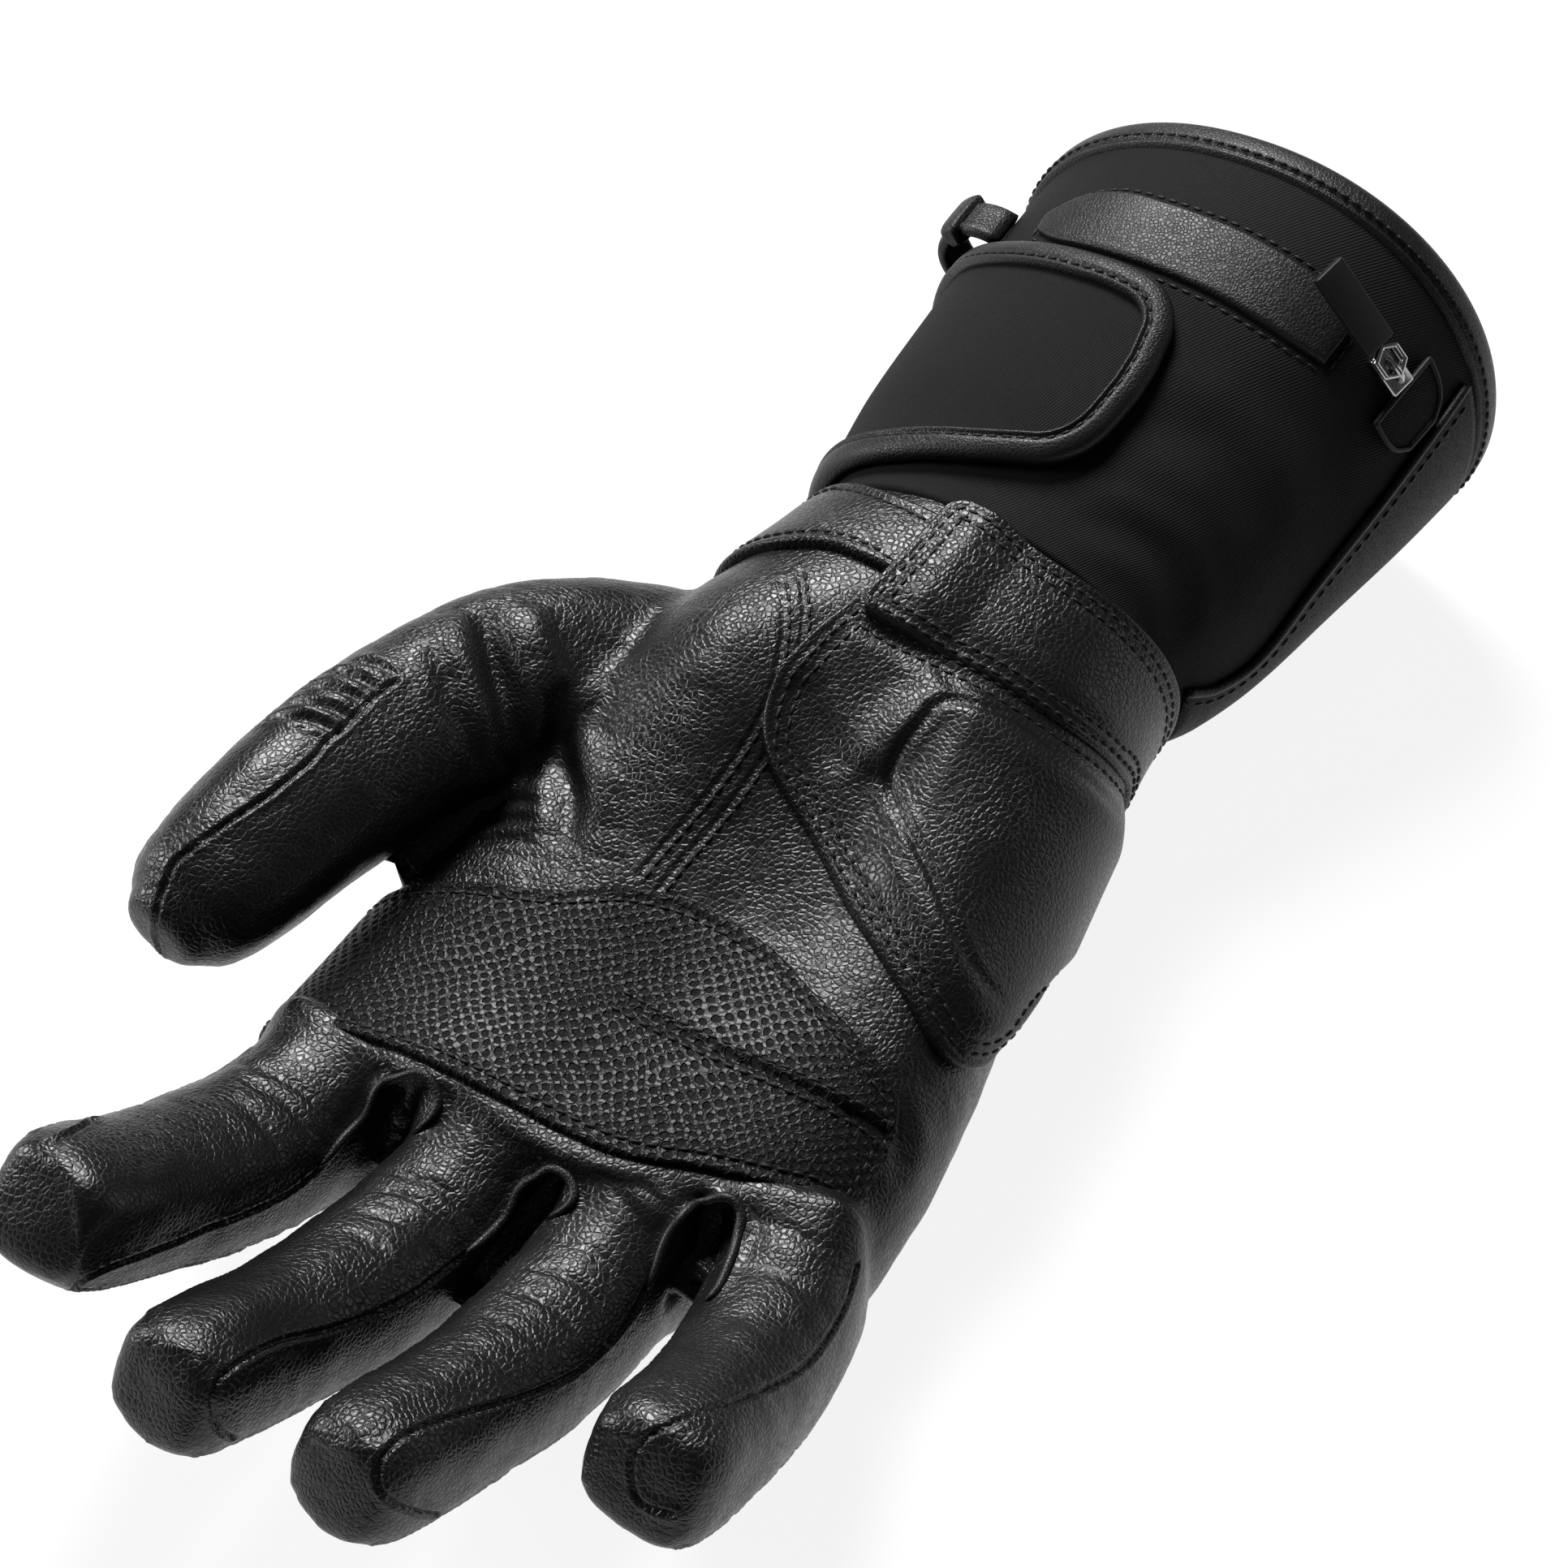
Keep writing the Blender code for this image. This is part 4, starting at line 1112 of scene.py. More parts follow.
# Seams of the palm face of the fingers, the thumb and its heel, as they run in the photograph
SEEN_SEAMS = (
    ((85, 1598), (92, 1585), (112, 1572), (150, 1555), (200, 1536), (250, 1516), (300, 1496), (345, 1475),
     (380, 1452), (405, 1424)),
    ((60, 1408), (100, 1388), (135, 1366), (170, 1352), (205, 1334)),
    ((288, 1772), (270, 1760), (264, 1745), (262, 1720), (269, 1700), (286, 1685), (312, 1668), (350, 1651),
     (400, 1640), (450, 1623), (500, 1600), (540, 1572), (575, 1545)),
    ((560, 1868), (520, 1864), (488, 1853), (470, 1838), (465, 1818), (469, 1798), (490, 1775), (512, 1762),
     (560, 1745), (620, 1728), (680, 1706), (720, 1684), (752, 1653), (782, 1618), (797, 1585)),
    ((828, 1866), (800, 1858), (784, 1846), (778, 1820), (779, 1795), (791, 1775), (812, 1762), (850, 1745),
     (900, 1728), (950, 1708), (990, 1684), (1012, 1660), (1032, 1628), (1047, 1596), (1056, 1558)),
    ((199, 1176), (191, 1150), (195, 1112), (204, 1086), (216, 1062), (242, 1040), (270, 1020), (300, 1000),
     (332, 979), (362, 955), (386, 934), (402, 914), (424, 896), (442, 878), (462, 858), (490, 838)),
    ((962, 712), (966, 745), (964, 785), (956, 830), (944, 868), (924, 905), (898, 944), (868, 983),
     (838, 1018), (808, 1052), (786, 1080)),
    ((985, 700), (990, 745), (988, 790), (980, 838), (968, 880), (948, 920), (922, 960), (892, 1000),
     (862, 1036), (832, 1070), (812, 1096)),
)
HEEL_SEAMS = SEEN_SEAMS[-2:]

# Seams of the hidden sides, as shares of a digit's length and angles round it in degrees
HIDDEN_SEAMS = (
    ((0.16, 144.0), (0.26, 147.0), (0.5, 150.0), (0.8, 148.0), (0.95, 140.0)),
    ((0.14, -42.0), (0.24, -38.0), (0.5, -35.0), (0.8, -38.0), (0.96, -46.0)),
    ((0.14, -138.0), (0.24, -142.0), (0.5, -145.0), (0.8, -142.0), (0.96, -134.0)),
)
HIDDEN_THUMB_SEAM = ((0.45, -60.0), (0.7, -64.0), (0.9, -70.0), (0.99, -90.0))

# Rolled edges of the leather round the roots of the gaps between the fingers
SEEN_ROLLS = (
    ((392, 1436), (420, 1401), (450, 1366), (464, 1341), (480, 1325), (503, 1317), (527, 1324), (541, 1342),
     (543, 1365), (530, 1385), (510, 1398)),
    ((572, 1546), (600, 1518), (622, 1489), (640, 1464), (660, 1443), (683, 1434), (705, 1444), (713, 1465),
     (707, 1487), (688, 1497), (665, 1509), (652, 1530), (640, 1550)),
    ((797, 1590), (806, 1557), (822, 1522), (850, 1490), (878, 1475), (902, 1478), (917, 1500), (914, 1530),
     (900, 1560), (887, 1590), (870, 1604)),
)

# Pockets inside those rolls, where the leather turns in between two fingers
SEEN_POCKETS = (
    ((506, 1342), (490, 1375), (465, 1405), (438, 1432)),
    ((688, 1460), (660, 1484), (632, 1515), (604, 1552)),
    ((884, 1502), (860, 1538), (840, 1578), (818, 1618)),
)

# Folds. Columns: depth or height, width and raised lips in millimetres, and pixels
SEEN_GROOVES = (
    (0.37, 1.10, 0.10, ((292, 1306), (340, 1325), (380, 1350), (408, 1382), (418, 1402))),
    (0.37, 1.30, 0.10, ((300, 1330), (340, 1350), (370, 1380), (388, 1418))),
    (0.40, 1.56, 0.11, ((282, 1350), (320, 1380), (343, 1412), (350, 1440))),
    (0.15, 1.47, 0.04, ((250, 1362), (284, 1398), (304, 1440), (310, 1470))),
    (0.40, 0.89, 0.11, ((455, 1440), (500, 1448), (545, 1465), (575, 1494), (592, 1514))),
    (0.44, 0.75, 0.12, ((450, 1462), (500, 1472), (540, 1495), (568, 1530))),
    (0.30, 0.84, 0.08, ((440, 1490), (490, 1505), (525, 1530), (546, 1562))),
    (0.24, 1.25, 0.07, ((420, 1514), (460, 1534), (490, 1565), (505, 1592))),
    (0.15, 1.15, 0.04, ((385, 1538), (420, 1558), (445, 1590), (455, 1618))),
    (0.26, 1.19, 0.07, ((660, 1518), (710, 1533), (750, 1558), (776, 1592))),
    (0.41, 0.92, 0.11, ((640, 1560), (690, 1570), (725, 1590), (750, 1626))),
    (0.33, 1.03, 0.09, ((618, 1588), (660, 1598), (698, 1622), (716, 1652))),
    (0.25, 1.08, 0.07, ((590, 1620), (630, 1632), (662, 1658), (676, 1688))),
    (0.12, 1.89, 0.03, ((560, 1650), (600, 1664), (630, 1694))),
    (0.22, 1.02, 0.06, ((928, 1498), (980, 1518), (1022, 1550))),
    (0.51, 2.07, 0.14, ((912, 1556), (960, 1566), (1000, 1590), (1026, 1612))),
    (0.29, 2.34, 0.08, ((885, 1628), (930, 1624), (980, 1632), (1012, 1650))),
    (0.19, 1.07, 0.05, ((572, 1370), (598, 1420), (612, 1472))),
    (0.15, 1.20, 0.04, ((602, 1380), (630, 1430), (632, 1486))),
    (0.22, 1.22, 0.06, ((735, 1440), (770, 1480), (800, 1520))),
    (0.24, 0.87, 0.07, ((760, 1470), (790, 1510), (805, 1550))),
    (0.17, 0.86, 0.05, ((780, 1450), (815, 1480), (832, 1500))),
    (3.6, 3.0, 1.2, ((596, 745), (601, 775), (610, 805), (622, 845), (632, 885), (642, 925), (655, 965))),
    (2.8, 3.2, 0.8, ((676, 850), (688, 895), (694, 935), (704, 975), (702, 1015), (690, 1045))),
    (0.8, 2.4, 0.3, ((545, 825), (560, 868), (582, 920), (590, 955))),
    (0.6, 1.6, 0.3, ((530, 790), (546, 826), (560, 850))),
    (1.0, 0.8, 0.6, ((306, 897), (335, 885), (372, 884), (402, 895), (418, 905))),
    (1.1, 0.8, 0.7, ((335, 872), (372, 864), (408, 872), (434, 886))),
    (1.1, 0.8, 0.7, ((362, 850), (398, 845), (430, 854), (450, 868))),
    (1.1, 0.8, 0.7, ((385, 830), (420, 828), (450, 838), (468, 852))),
    (0.9, 0.8, 0.5, ((435, 813), (465, 818), (490, 833))),
    (0.5, 1.0, 0.2, ((600, 990), (630, 985), (662, 990))),
    (0.5, 1.0, 0.2, ((578, 1018), (620, 1010), (664, 1012))),
    (0.4, 1.0, 0.2, ((568, 1040), (610, 1034), (650, 1036))),
    (0.6, 2.4, 0.3, ((1085, 1340), (1110, 1400), (1100, 1460))),
    (0.7, 2.0, 0.3, ((430, 1215), (455, 1250), (470, 1290))),
)
SEEN_RIDGES = (
    (1.6, 2.2, 0.0, ((655, 745), (668, 785), (684, 820), (692, 850))),
    (1.8, 3.6, 0.0, ((800, 812), (762, 832), (725, 868), (708, 900), (716, 940), (730, 978), (722, 1020))),
    (0.5, 1.2, 0.0, ((60, 1422), (85, 1450), (98, 1490), (100, 1530), (92, 1575))),
    (0.4, 1.2, 0.0, ((190, 1652), (225, 1660), (262, 1672), (285, 1690))),
    (0.4, 1.2, 0.0, ((380, 1772), (420, 1785), (460, 1785), (490, 1775))),
    (0.4, 1.2, 0.0, ((705, 1745), (745, 1760), (790, 1772))),
)
SEEN_FOLDS = [SeenLine(Relief.GROOVE, *row) for row in SEEN_GROOVES]
SEEN_FOLDS += [SeenLine(Relief.RIDGE, *row) for row in SEEN_RIDGES]


@dataclass(frozen=True)
class Wrinkles:
    """Small irregular wrinkles of worn leather, mostly across the fingers, with slack between them.

    Patterns are waves a metre along X, Y and Z, and heights are in millimetres.
    """

    patches: float = 45.0
    bends: float = 60.0
    valleys: tuple = (75.0, 230.0, 75.0)
    crossings: tuple = (190.0, 120.0, 150.0)
    slacks: tuple = (95.0, 120.0, 95.0)
    valley_depth: float = 0.26
    crossing_depth: float = 0.14
    slack_height: float = 0.30

    def moves(self, points: np.ndarray) -> np.ndarray:
        """Outward movement of each point.

        Args:
            points: Points of the leather.

        Returns:
            How far each goes out, in metres.
        """
        moves = np.zeros(len(points))
        (va, vb, vc), (ca, cb, cc), (sa, sb, sc) = self.valleys, self.crossings, self.slacks
        for i, (x, y, z) in enumerate(points.tolist()):
            patchy = 0.5 + 1.6 * noise.noise((x * self.patches, y * self.patches, z * self.patches))
            patchy = min(1.0, max(0.0, patchy))
            bent = 1.2 * noise.noise((x * self.bends, y * self.bends, z * self.bends))
            valley = 1.0 - min(1.0, 3.2 * abs(noise.noise((x * va, y * vb + bent, z * vc + 9.0))))
            crossing = 1.0 - min(1.0, 3.6 * abs(noise.noise((x * ca, y * cb + 5.0, z * cc))))
            slack = noise.noise((x * sa, y * sb, z * sc + 3.0))
            moves[i] = self.slack_height * slack - self.valley_depth * patchy * valley ** 2
            moves[i] -= self.crossing_depth * (1.0 - patchy) * crossing ** 2
        return moves * MM


@dataclass
class HandSkin:
    """Leather of the palm, the fingers and the thumb as one continuous skin, with its seams and folds."""

    body: Body
    wardrobe: Wardrobe
    stitching: "Stitching"
    view: PhotoView = PhotoView()
    wrinkles: Wrinkles = Wrinkles()
    grid: float = 0.00136
    inner_grid: float = 0.0032
    stuffing_rounds: int = 7
    palm_sides: int = 160
    palm_rings: int = 80
    digit_sides: int = 72
    digit_rings: int = 60
    wrist_tuck: float = 0.0016
    root_depth: float = 0.0080
    root_shrink: float = 0.72
    cap_length: float = 2.7
    cap_squareness: float = 3.4
    cap_steps: tuple = (0.3, 0.55, 0.75, 0.88, 0.96, 0.995)
    pocket: tuple = (0.0013, 0.0022)
    roll: tuple = (-0.0012, 0.00115)
    back_folds: tuple = (0.20, 0.30, 0.42, 0.52)
    seam_depth: float = 0.85
    heel_seam_depth: float = 0.40
    seam_width: float = 0.45
    seam_lip: float = 0.33
    heel_row_shift: tuple = (7, 4)
    welt_width: float = 0.0019
    welt_rise: float = 0.0004
    welt_sides: int = 12
    welt_rounds: int = 6
    fingers: dict = field(default_factory=dict)
    rolls: list = field(default_factory=list)

    def __post_init__(self) -> None:
        """Work out the surfaces of the fingers and the thumb."""
        for row in FINGERS:
            self.fingers[row[0]] = finger_digit(row, self.body.shift)
        self.thumb = thumb_digit(self.body.shift)

    def palm_tube(self) -> np.ndarray:
        """Rings of the palm from inside the cuff to the knuckle line."""
        angles = np.linspace(0.0, 2 * np.pi, self.palm_sides, endpoint=False)
        rings = []
        for share in np.linspace(-0.02, 1.0, self.palm_rings):
            along = np.full(self.palm_sides, -share * HAND_LENGTH)
            x = self.body.point(along, angles)[:, 0] - self.body.shift[0]
            tuck = -self.wrist_tuck * ease(np.array((0.02 - share) / 0.03))
            rings.append(self.body.point(share * knuckle_line(x), angles, tuck))
        return np.array(rings)

    def digit_tube(self, digit: Digit, root: float, beside: tuple[bool, bool] = (False, False)) -> np.ndarray:
        """Rings of a digit with a blunt end.

        Args:
            digit: Its surface.
            root: How far inside its root it starts.
            beside: Whether another finger lies beside it towards the little finger and the thumb.

        Returns:
            The rings; the sides beside another finger leave a gap to it.
        """
        angles = np.linspace(0.0, 2 * np.pi, self.digit_sides, endpoint=False)
        shares = np.linspace(0.0, digit.shares[-1], self.digit_rings)
        little, thumb = np.clip(np.cos(angles), 0.0, 1.0), np.clip(-np.cos(angles), 0.0, 1.0)
        facing = little * beside[0] + thumb * beside[1]
        growing = 0.62 * ease((shares[:, None] - 0.02) / 0.10) + 0.38 * ease((shares[:, None] - 0.40) / 0.25)
        slimmer = -FINGER_GAP * facing ** 0.5 * growing
        rings = list(digit.point(shares[:, None], angles[None, :], slimmer))
        centre, heading, _, _ = digit.axes(np.array((0.0, digit.shares[-1])))
        inside = centre[0] + (rings[0] - centre[0]) * self.root_shrink - heading[0] * root
        end = rings[-1]
        for step in self.cap_steps:
            shrink = (1.0 - step ** self.cap_squareness) ** (1 / self.cap_squareness)
            rings.append(centre[1] + (end - centre[1]) * shrink + heading[1] * step * self.cap_length * MM)
        return np.array([inside] + rings)

    def blank(self) -> bpy.types.Object:
        """The plain skin: every tube in one even mesh."""
        tubes = [self.palm_tube(), self.digit_tube(self.thumb, 0.0)]
        names = list(self.fingers)
        for name in names:
            beside = (name != names[-1], name != names[0])
            tubes.append(self.digit_tube(self.fingers[name], self.root_depth, beside))
        skin = new_object("hand_skin", *joined_tubes(tubes), self.wardrobe.leather)
        turn_outwards(skin)
        skin.data.remesh_voxel_size = self.grid
        bpy.ops.object.voxel_remesh()
        return self.largest(skin)

    @staticmethod
    def largest(skin: bpy.types.Object) -> bpy.types.Object:
        """The skin without loose crumbs that the remeshing left between the fingers."""
        use_only(skin)
        bpy.ops.object.mode_set(mode="EDIT")
        bpy.ops.mesh.select_all(action="SELECT")
        bpy.ops.mesh.separate(type="LOOSE")
        bpy.ops.object.mode_set(mode="OBJECT")
        parts = sorted(bpy.context.selected_objects, key=lambda part: -len(part.data.vertices))
        for crumb in parts[1:]:
            bpy.data.objects.remove(crumb, do_unlink=True)
        parts[0].name = "hand_skin"
        use_only(parts[0])
        return parts[0]

    def on_finger(self, name: str, places: Sequence[tuple[float, float]], count: int = 24) -> np.ndarray:
        """Curve on a digit through pairs of a share of its length and an angle in degrees."""
        digit = self.thumb if name == "thumb" else self.fingers[name]
        return digit.point(*smooth_places(places, count))

    def folds(self, ground: BVHTree) -> list:
        """Folds, rolls and pockets, placed as the photograph shows them, and folds of the hidden sides.

        Args:
            ground: Search tree of the skin.

        Returns:
            A crease for each; the paths of the rolls are kept for the welts.
        """
        paths = [self.view.onto(ground, line.pixels, 30) for line in SEEN_FOLDS]
        made = [line.crease(path) for line, path in zip(SEEN_FOLDS, paths) if len(path) > SHORTEST_PATH]
        made += [Crease(self.view.onto(ground, pixels, 30), *self.pocket) for pixels in SEEN_POCKETS]
        self.rolls = [self.view.onto(ground, pixels, 50) for pixels in SEEN_ROLLS]
        made += [Crease(path, *self.roll) for path in self.rolls]
        rng = np.random.default_rng(7)
        for name in self.fingers:
            for share in self.back_folds:
                wobble = rng.uniform(-0.03, 0.03, 3)
                places = [(share + wobble[0], -35.0), (share + wobble[1], -90.0), (share + wobble[2], -145.0)]
                made.append(Crease(self.on_finger(name, places), 0.6 * MM, 1.6 * MM, 0.3 * MM))
        return made

    def hidden_seams(self) -> list:
        """Seams of the sides of the fingers that the photograph doesn't show."""
        made = [self.on_finger(name, places, 40) for name in self.fingers for places in HIDDEN_SEAMS]
        return made + [self.on_finger("thumb", HIDDEN_THUMB_SEAM, 60)]

    def refine(self, skin: bpy.types.Object, paths: Sequence[np.ndarray], reach: float) -> None:
        """Split the faces near some paths, so that fine forms show there."""
        points = mesh_points(skin.data)
        near = np.zeros(len(points), bool)
        for path in paths:
            near[near_path(points, path, reach)[0]] = True
        shape = bmesh.new()
        shape.from_mesh(skin.data)
        shape.verts.ensure_lookup_table()
        edges = [e for e in shape.edges if near[e.verts[0].index] and near[e.verts[1].index]]
        bmesh.ops.subdivide_edges(shape, edges=edges, cuts=1, use_grid_fill=True)
        shape.to_mesh(skin.data)
        shape.free()

    def build(self) -> bpy.types.Object:
        """Build the skin with its folds and seams."""
        skin = self.blank()
        mesh = skin.data
        set_points(mesh, relax(mesh_points(mesh), mesh_edges(mesh), self.stuffing_rounds))
        ground = surface_tree(skin)
        folds = self.folds(ground)
        seams = [self.view.onto(ground, pixels, 80) for pixels in SEEN_SEAMS]
        seams += [self.project(ground, path) for path in self.hidden_seams()]
        self.refine(skin, seams + [fold.path for fold in folds if fold.width < 1.6 * MM], 2.6 * MM)
        points = relax(mesh_points(mesh), mesh_edges(mesh), 2)
        set_points(mesh, points)
        normals = mesh_normals(mesh)
        amount = np.zeros(len(points))
        for fold in folds:
            fold.push(points, amount)
        depths = np.full(len(seams), self.seam_depth)
        depths[len(SEEN_SEAMS) - len(HEEL_SEAMS):len(SEEN_SEAMS)] = self.heel_seam_depth
        for path, depth in zip(seams, depths):
            lip = self.seam_lip * depth * MM
            Crease(path, depth * MM, self.seam_width * MM, lip, open_ends=False).push(points, amount)
        amount += self.wrinkles.moves(points)
        points = points + normals * amount[:, None]
        points[:, 2] = np.maximum(points[:, 2], 0.0)
        set_points(mesh, points)
        self.open_wrist(skin)
        tree = surface_tree(skin)
        right, down = self.heel_row_shift
        rows = [self.view.onto(tree, [(x + right, y + down) for x, y in seam], 80) for seam in HEEL_SEAMS]
        seat(self.stitching.build("heel_stitches", rows, tree), Slot.BINDING)
        return skin

    def welts(self, skin: bpy.types.Object) -> None:
        """Build the rolled leather edges that run round the roots of the gaps between the fingers.

        Args:
            skin: The finished skin, which they lie on.
        """
        ground = surface_tree(skin)
        toward_eye = np.array(self.view.axes()[2])
        profile = oval_profile(self.welt_width, self.welt_width, 2.0, self.welt_sides)
        tubes = []
        for path in self.rolls:
            line = smooth_line(self.project(ground, path), self.welt_rounds)
            outward = np.array([tuple(ground.find_nearest(Vector(p))[1]) for p in path]) + toward_eye
            outward = unit(smooth_line(outward, self.welt_rounds))
            line = line + outward * self.welt_rise
            rings = sweep(line, unit(np.cross(np.gradient(line, axis=0), outward)), outward, profile)
            share = np.linspace(-1.0, 1.0, len(line))
            slim = np.sqrt(np.maximum(1.0 - np.abs(share) ** 8, 0.02))
            tubes.append(line[:, None] + (rings - line[:, None]) * slim[:, None, None])
        seat(new_object("finger_welts", *joined_tubes(tubes), self.wardrobe.binding), Slot.LEATHER)

    @staticmethod
    def project(ground: BVHTree, path: np.ndarray) -> np.ndarray:
        """Nearest points of the skin to a path."""
        return np.array([tuple(ground.find_nearest(Vector(p))[0]) for p in path])

    def open_wrist(self, skin: bpy.types.Object) -> None:
        """Cut the skin open at the wrist and give it an inner wall.

        Args:
            skin: The closed skin, which this changes.
        """
        inner = skin.copy()
        inner.data = skin.data.copy()
        bpy.context.scene.collection.objects.link(inner)
        use_only(inner)
        inner.data.remesh_voxel_size = self.inner_grid
        bpy.ops.object.voxel_remesh()
        mesh = inner.data
        set_points(mesh, relax(mesh_points(mesh), mesh_edges(mesh), 2))
        points = mesh_points(mesh) - mesh_normals(mesh) * WALL
        set_points(mesh, relax(points, mesh_edges(mesh), 2))
        seam = float(self.body.shift[1]) + 1.2 * MM
        for piece, cut in ((skin, seam), (inner, seam - 0.4 * MM)):
            use_only(piece)
            bpy.ops.object.mode_set(mode="EDIT")
            bpy.ops.mesh.select_all(action="SELECT")
            bpy.ops.mesh.bisect(plane_co=(0.0, cut, 0.0), plane_no=(0.0, 1.0, 0.0), clear_outer=True)
            if piece is inner:
                bpy.ops.mesh.select_all(action="SELECT")
                bpy.ops.mesh.flip_normals()
            bpy.ops.object.mode_set(mode="OBJECT")
        bpy.ops.object.select_all(action="DESELECT")
        inner.select_set(True)
        skin.select_set(True)
        bpy.context.view_layer.objects.active = skin
        bpy.ops.object.join()
        use_only(skin)
        bpy.ops.object.mode_set(mode="EDIT")
        bpy.ops.mesh.select_all(action="DESELECT")
        bpy.ops.mesh.select_non_manifold(
            extend=False, use_wire=False, use_multi_face=False, use_non_contiguous=False, use_verts=False
        )
        bpy.ops.mesh.bridge_edge_loops()
        bpy.ops.object.mode_set(mode="OBJECT")
        skin.data.shade_smooth()


def arc_lengths(points: np.ndarray) -> np.ndarray:
    """Distance from the first point along a line of points."""
    return np.concatenate(([0.0], np.cumsum(np.linalg.norm(np.diff(points, axis=0), axis=1))))


# Steps in from an edge, in millimetres, which grow towards the middle of a piece
EDGE_STEPS = (0.0, 0.12, 0.35, 0.7, 1.1, 1.5, 1.9, 2.3, 2.8, 3.4)


def stations(length: float, pitch: float) -> np.ndarray:
    """Places from 0 to a length, closer together near both ends."""
    near = np.array(EDGE_STEPS) * MM
    near *= min(1.0, length / (2.2 * near[-1]))
    count = max(2, round((length - 2 * near[-1]) / pitch))
    middle = np.linspace(near[-1], length - near[-1], count + 1)[1:-1]
    return np.concatenate((near, middle, (length - near)[::-1]))


def border(grid: np.ndarray) -> np.ndarray:
    """Edge of a grid, all the way round to its first corner again."""
    return np.concatenate((grid[0], grid[1:, -1], grid[-1, ::-1][1:], grid[::-1, 0][1:]))


def quads(index: np.ndarray) -> list:
    """Faces of a grid of point numbers."""
    corners = (index[:-1, :-1], index[:-1, 1:], index[1:, 1:], index[1:, :-1])
    return [tuple(face) for face in np.stack([c.ravel() for c in corners], axis=1)]


def closed_sheet(
    name: str, top: np.ndarray, under: np.ndarray, material: bpy.types.Material
) -> bpy.types.Object:
    """Closed form between two grids of points, faced outwards."""
    shape = top.shape[:2]
    count = shape[0] * shape[1]
    index = np.arange(count).reshape(shape)
    faces = quads(index) + [face[::-1] for face in quads(index + count)]
    rim = border(index)[:-1]
    faces += [(b, a, a + count, b + count) for a, b in zip(rim, np.roll(rim, -1))]
    return new_object(name, np.concatenate((top.reshape(-1, 3), under.reshape(-1, 3))), faces, material)


def edge_at(table: Sequence, column: int, angle: np.ndarray) -> np.ndarray:
    """Edge of a laid piece at angles in degrees, read from its table."""
    rows = np.array(table)
    return smooth_between(rows[:, 0], rows[:, column], angle)[:, 0]


def hand_span(table: Sequence) -> Callable:
    """Edges along Y of a piece whose table is in shares of HAND_LENGTH."""
    return lambda angle: (-edge_at(table, 1, angle) * HAND_LENGTH, -edge_at(table, 2, angle) * HAND_LENGTH)


def cuff_span(table: Sequence) -> Callable:
    """Edges along Y of a piece whose table is in shares of CUFF_LENGTH."""
    return lambda angle: (edge_at(table, 1, angle) * CUFF_LENGTH, edge_at(table, 2, angle) * CUFF_LENGTH)


def add_surface_map(piece: bpy.types.Object, places: np.ndarray) -> None:
    """Give a piece its surface map from one place in metres for each point."""
    mesh = piece.data
    corners = np.empty(len(mesh.loops), np.int32)
    mesh.loops.foreach_get("vertex_index", corners)
    layer = mesh.uv_layers.new(name="surface")
    layer.data.foreach_set("uv", places[corners].astype(np.float32).ravel())


def surface_tree(piece: bpy.types.Object) -> BVHTree:
    """Search tree of a piece's faces."""
    shape = bmesh.new()
    shape.from_mesh(piece.data)
    tree = BVHTree.FromBMesh(shape)
    shape.free()
    return tree


def flat_area(grid: np.ndarray) -> float:
    """Area of a grid of points, summed over its faces."""
    crossing = np.cross(grid[1:, 1:] - grid[:-1, :-1], grid[:-1, 1:] - grid[1:, :-1])
    return float(np.linalg.norm(crossing, axis=2).sum() / 2)


@dataclass
class Stitching:
    """Rows of thread stitches, all copies of one small stitch."""

    wardrobe: Wardrobe
    pitch: float = 0.0029
    length: float = 0.0022
    width: float = 0.00080
    height: float = 0.00060
    fullness: float = 0.7
    dip: float = 1.1
    reach: float = 0.0040
    rise: float = 0.12

    def __post_init__(self) -> None:
        """Model one stitch: a round bar whose ends dip into the leather."""
        upright = (0.0, math.pi / 2, 0.0)
        bpy.ops.mesh.primitive_uv_sphere_add(segments=6, ring_count=5, radius=0.5, rotation=upright)
        bar = bpy.context.object
        use_only(bar)
        bpy.ops.object.transform_apply(location=False, rotation=True, scale=False)
        points = mesh_points(bar.data)
        fuller = np.sign(points[:, 0]) * np.abs(2 * points[:, 0]) ** self.fullness / 2
        self.shape = np.stack((fuller, points[:, 1], points[:, 2] - self.dip * fuller ** 2), axis=1)
        self.shape = self.shape * (self.length, self.width, self.height)
        self.faces = [tuple(face.vertices) for face in bar.data.polygons]
        bpy.data.objects.remove(bar, do_unlink=True)

    def build(self, name: str, rows: Sequence[np.ndarray], ground: BVHTree) -> bpy.types.Object:
        """Lay stitches along lines on a surface.

        Args:
            name: Name of the piece.
            rows: Lines of points, which the surface is searched near.
            ground: Search tree of the surface that is sewn.

        Returns:
            One object with every stitch.
        """
        vertices, faces = [], []
        for row in rows:
            lengths = arc_lengths(row)
            count = max(1, int(lengths[-1] / self.pitch))
            at = (np.arange(count) + 0.5) * lengths[-1] / count
            index = np.clip(np.searchsorted(lengths, at) - 1, 0, len(row) - 2)
            share = ((at - lengths[index]) / np.maximum(lengths[index + 1] - lengths[index], 1e-9))[:, None]
            headings = row[index + 1] - row[index]
            places = row[index] + share * headings
            for place, heading in zip(places, headings):
                found, normal, _, distance = ground.find_nearest(Vector(place))
                if found is None or distance > self.reach:
                    continue
                up = np.array(normal)
                ahead = unit(heading - up * (heading @ up))
                side = np.cross(up, ahead)
                centre = np.array(found) + up * self.rise * MM
                faces += [tuple(i + len(vertices) * len(self.shape) for i in face) for face in self.faces]
                vertices.append(centre + self.shape @ np.array((ahead, side, up)))
        return new_object(name, np.concatenate(vertices), faces, self.wardrobe.thread)


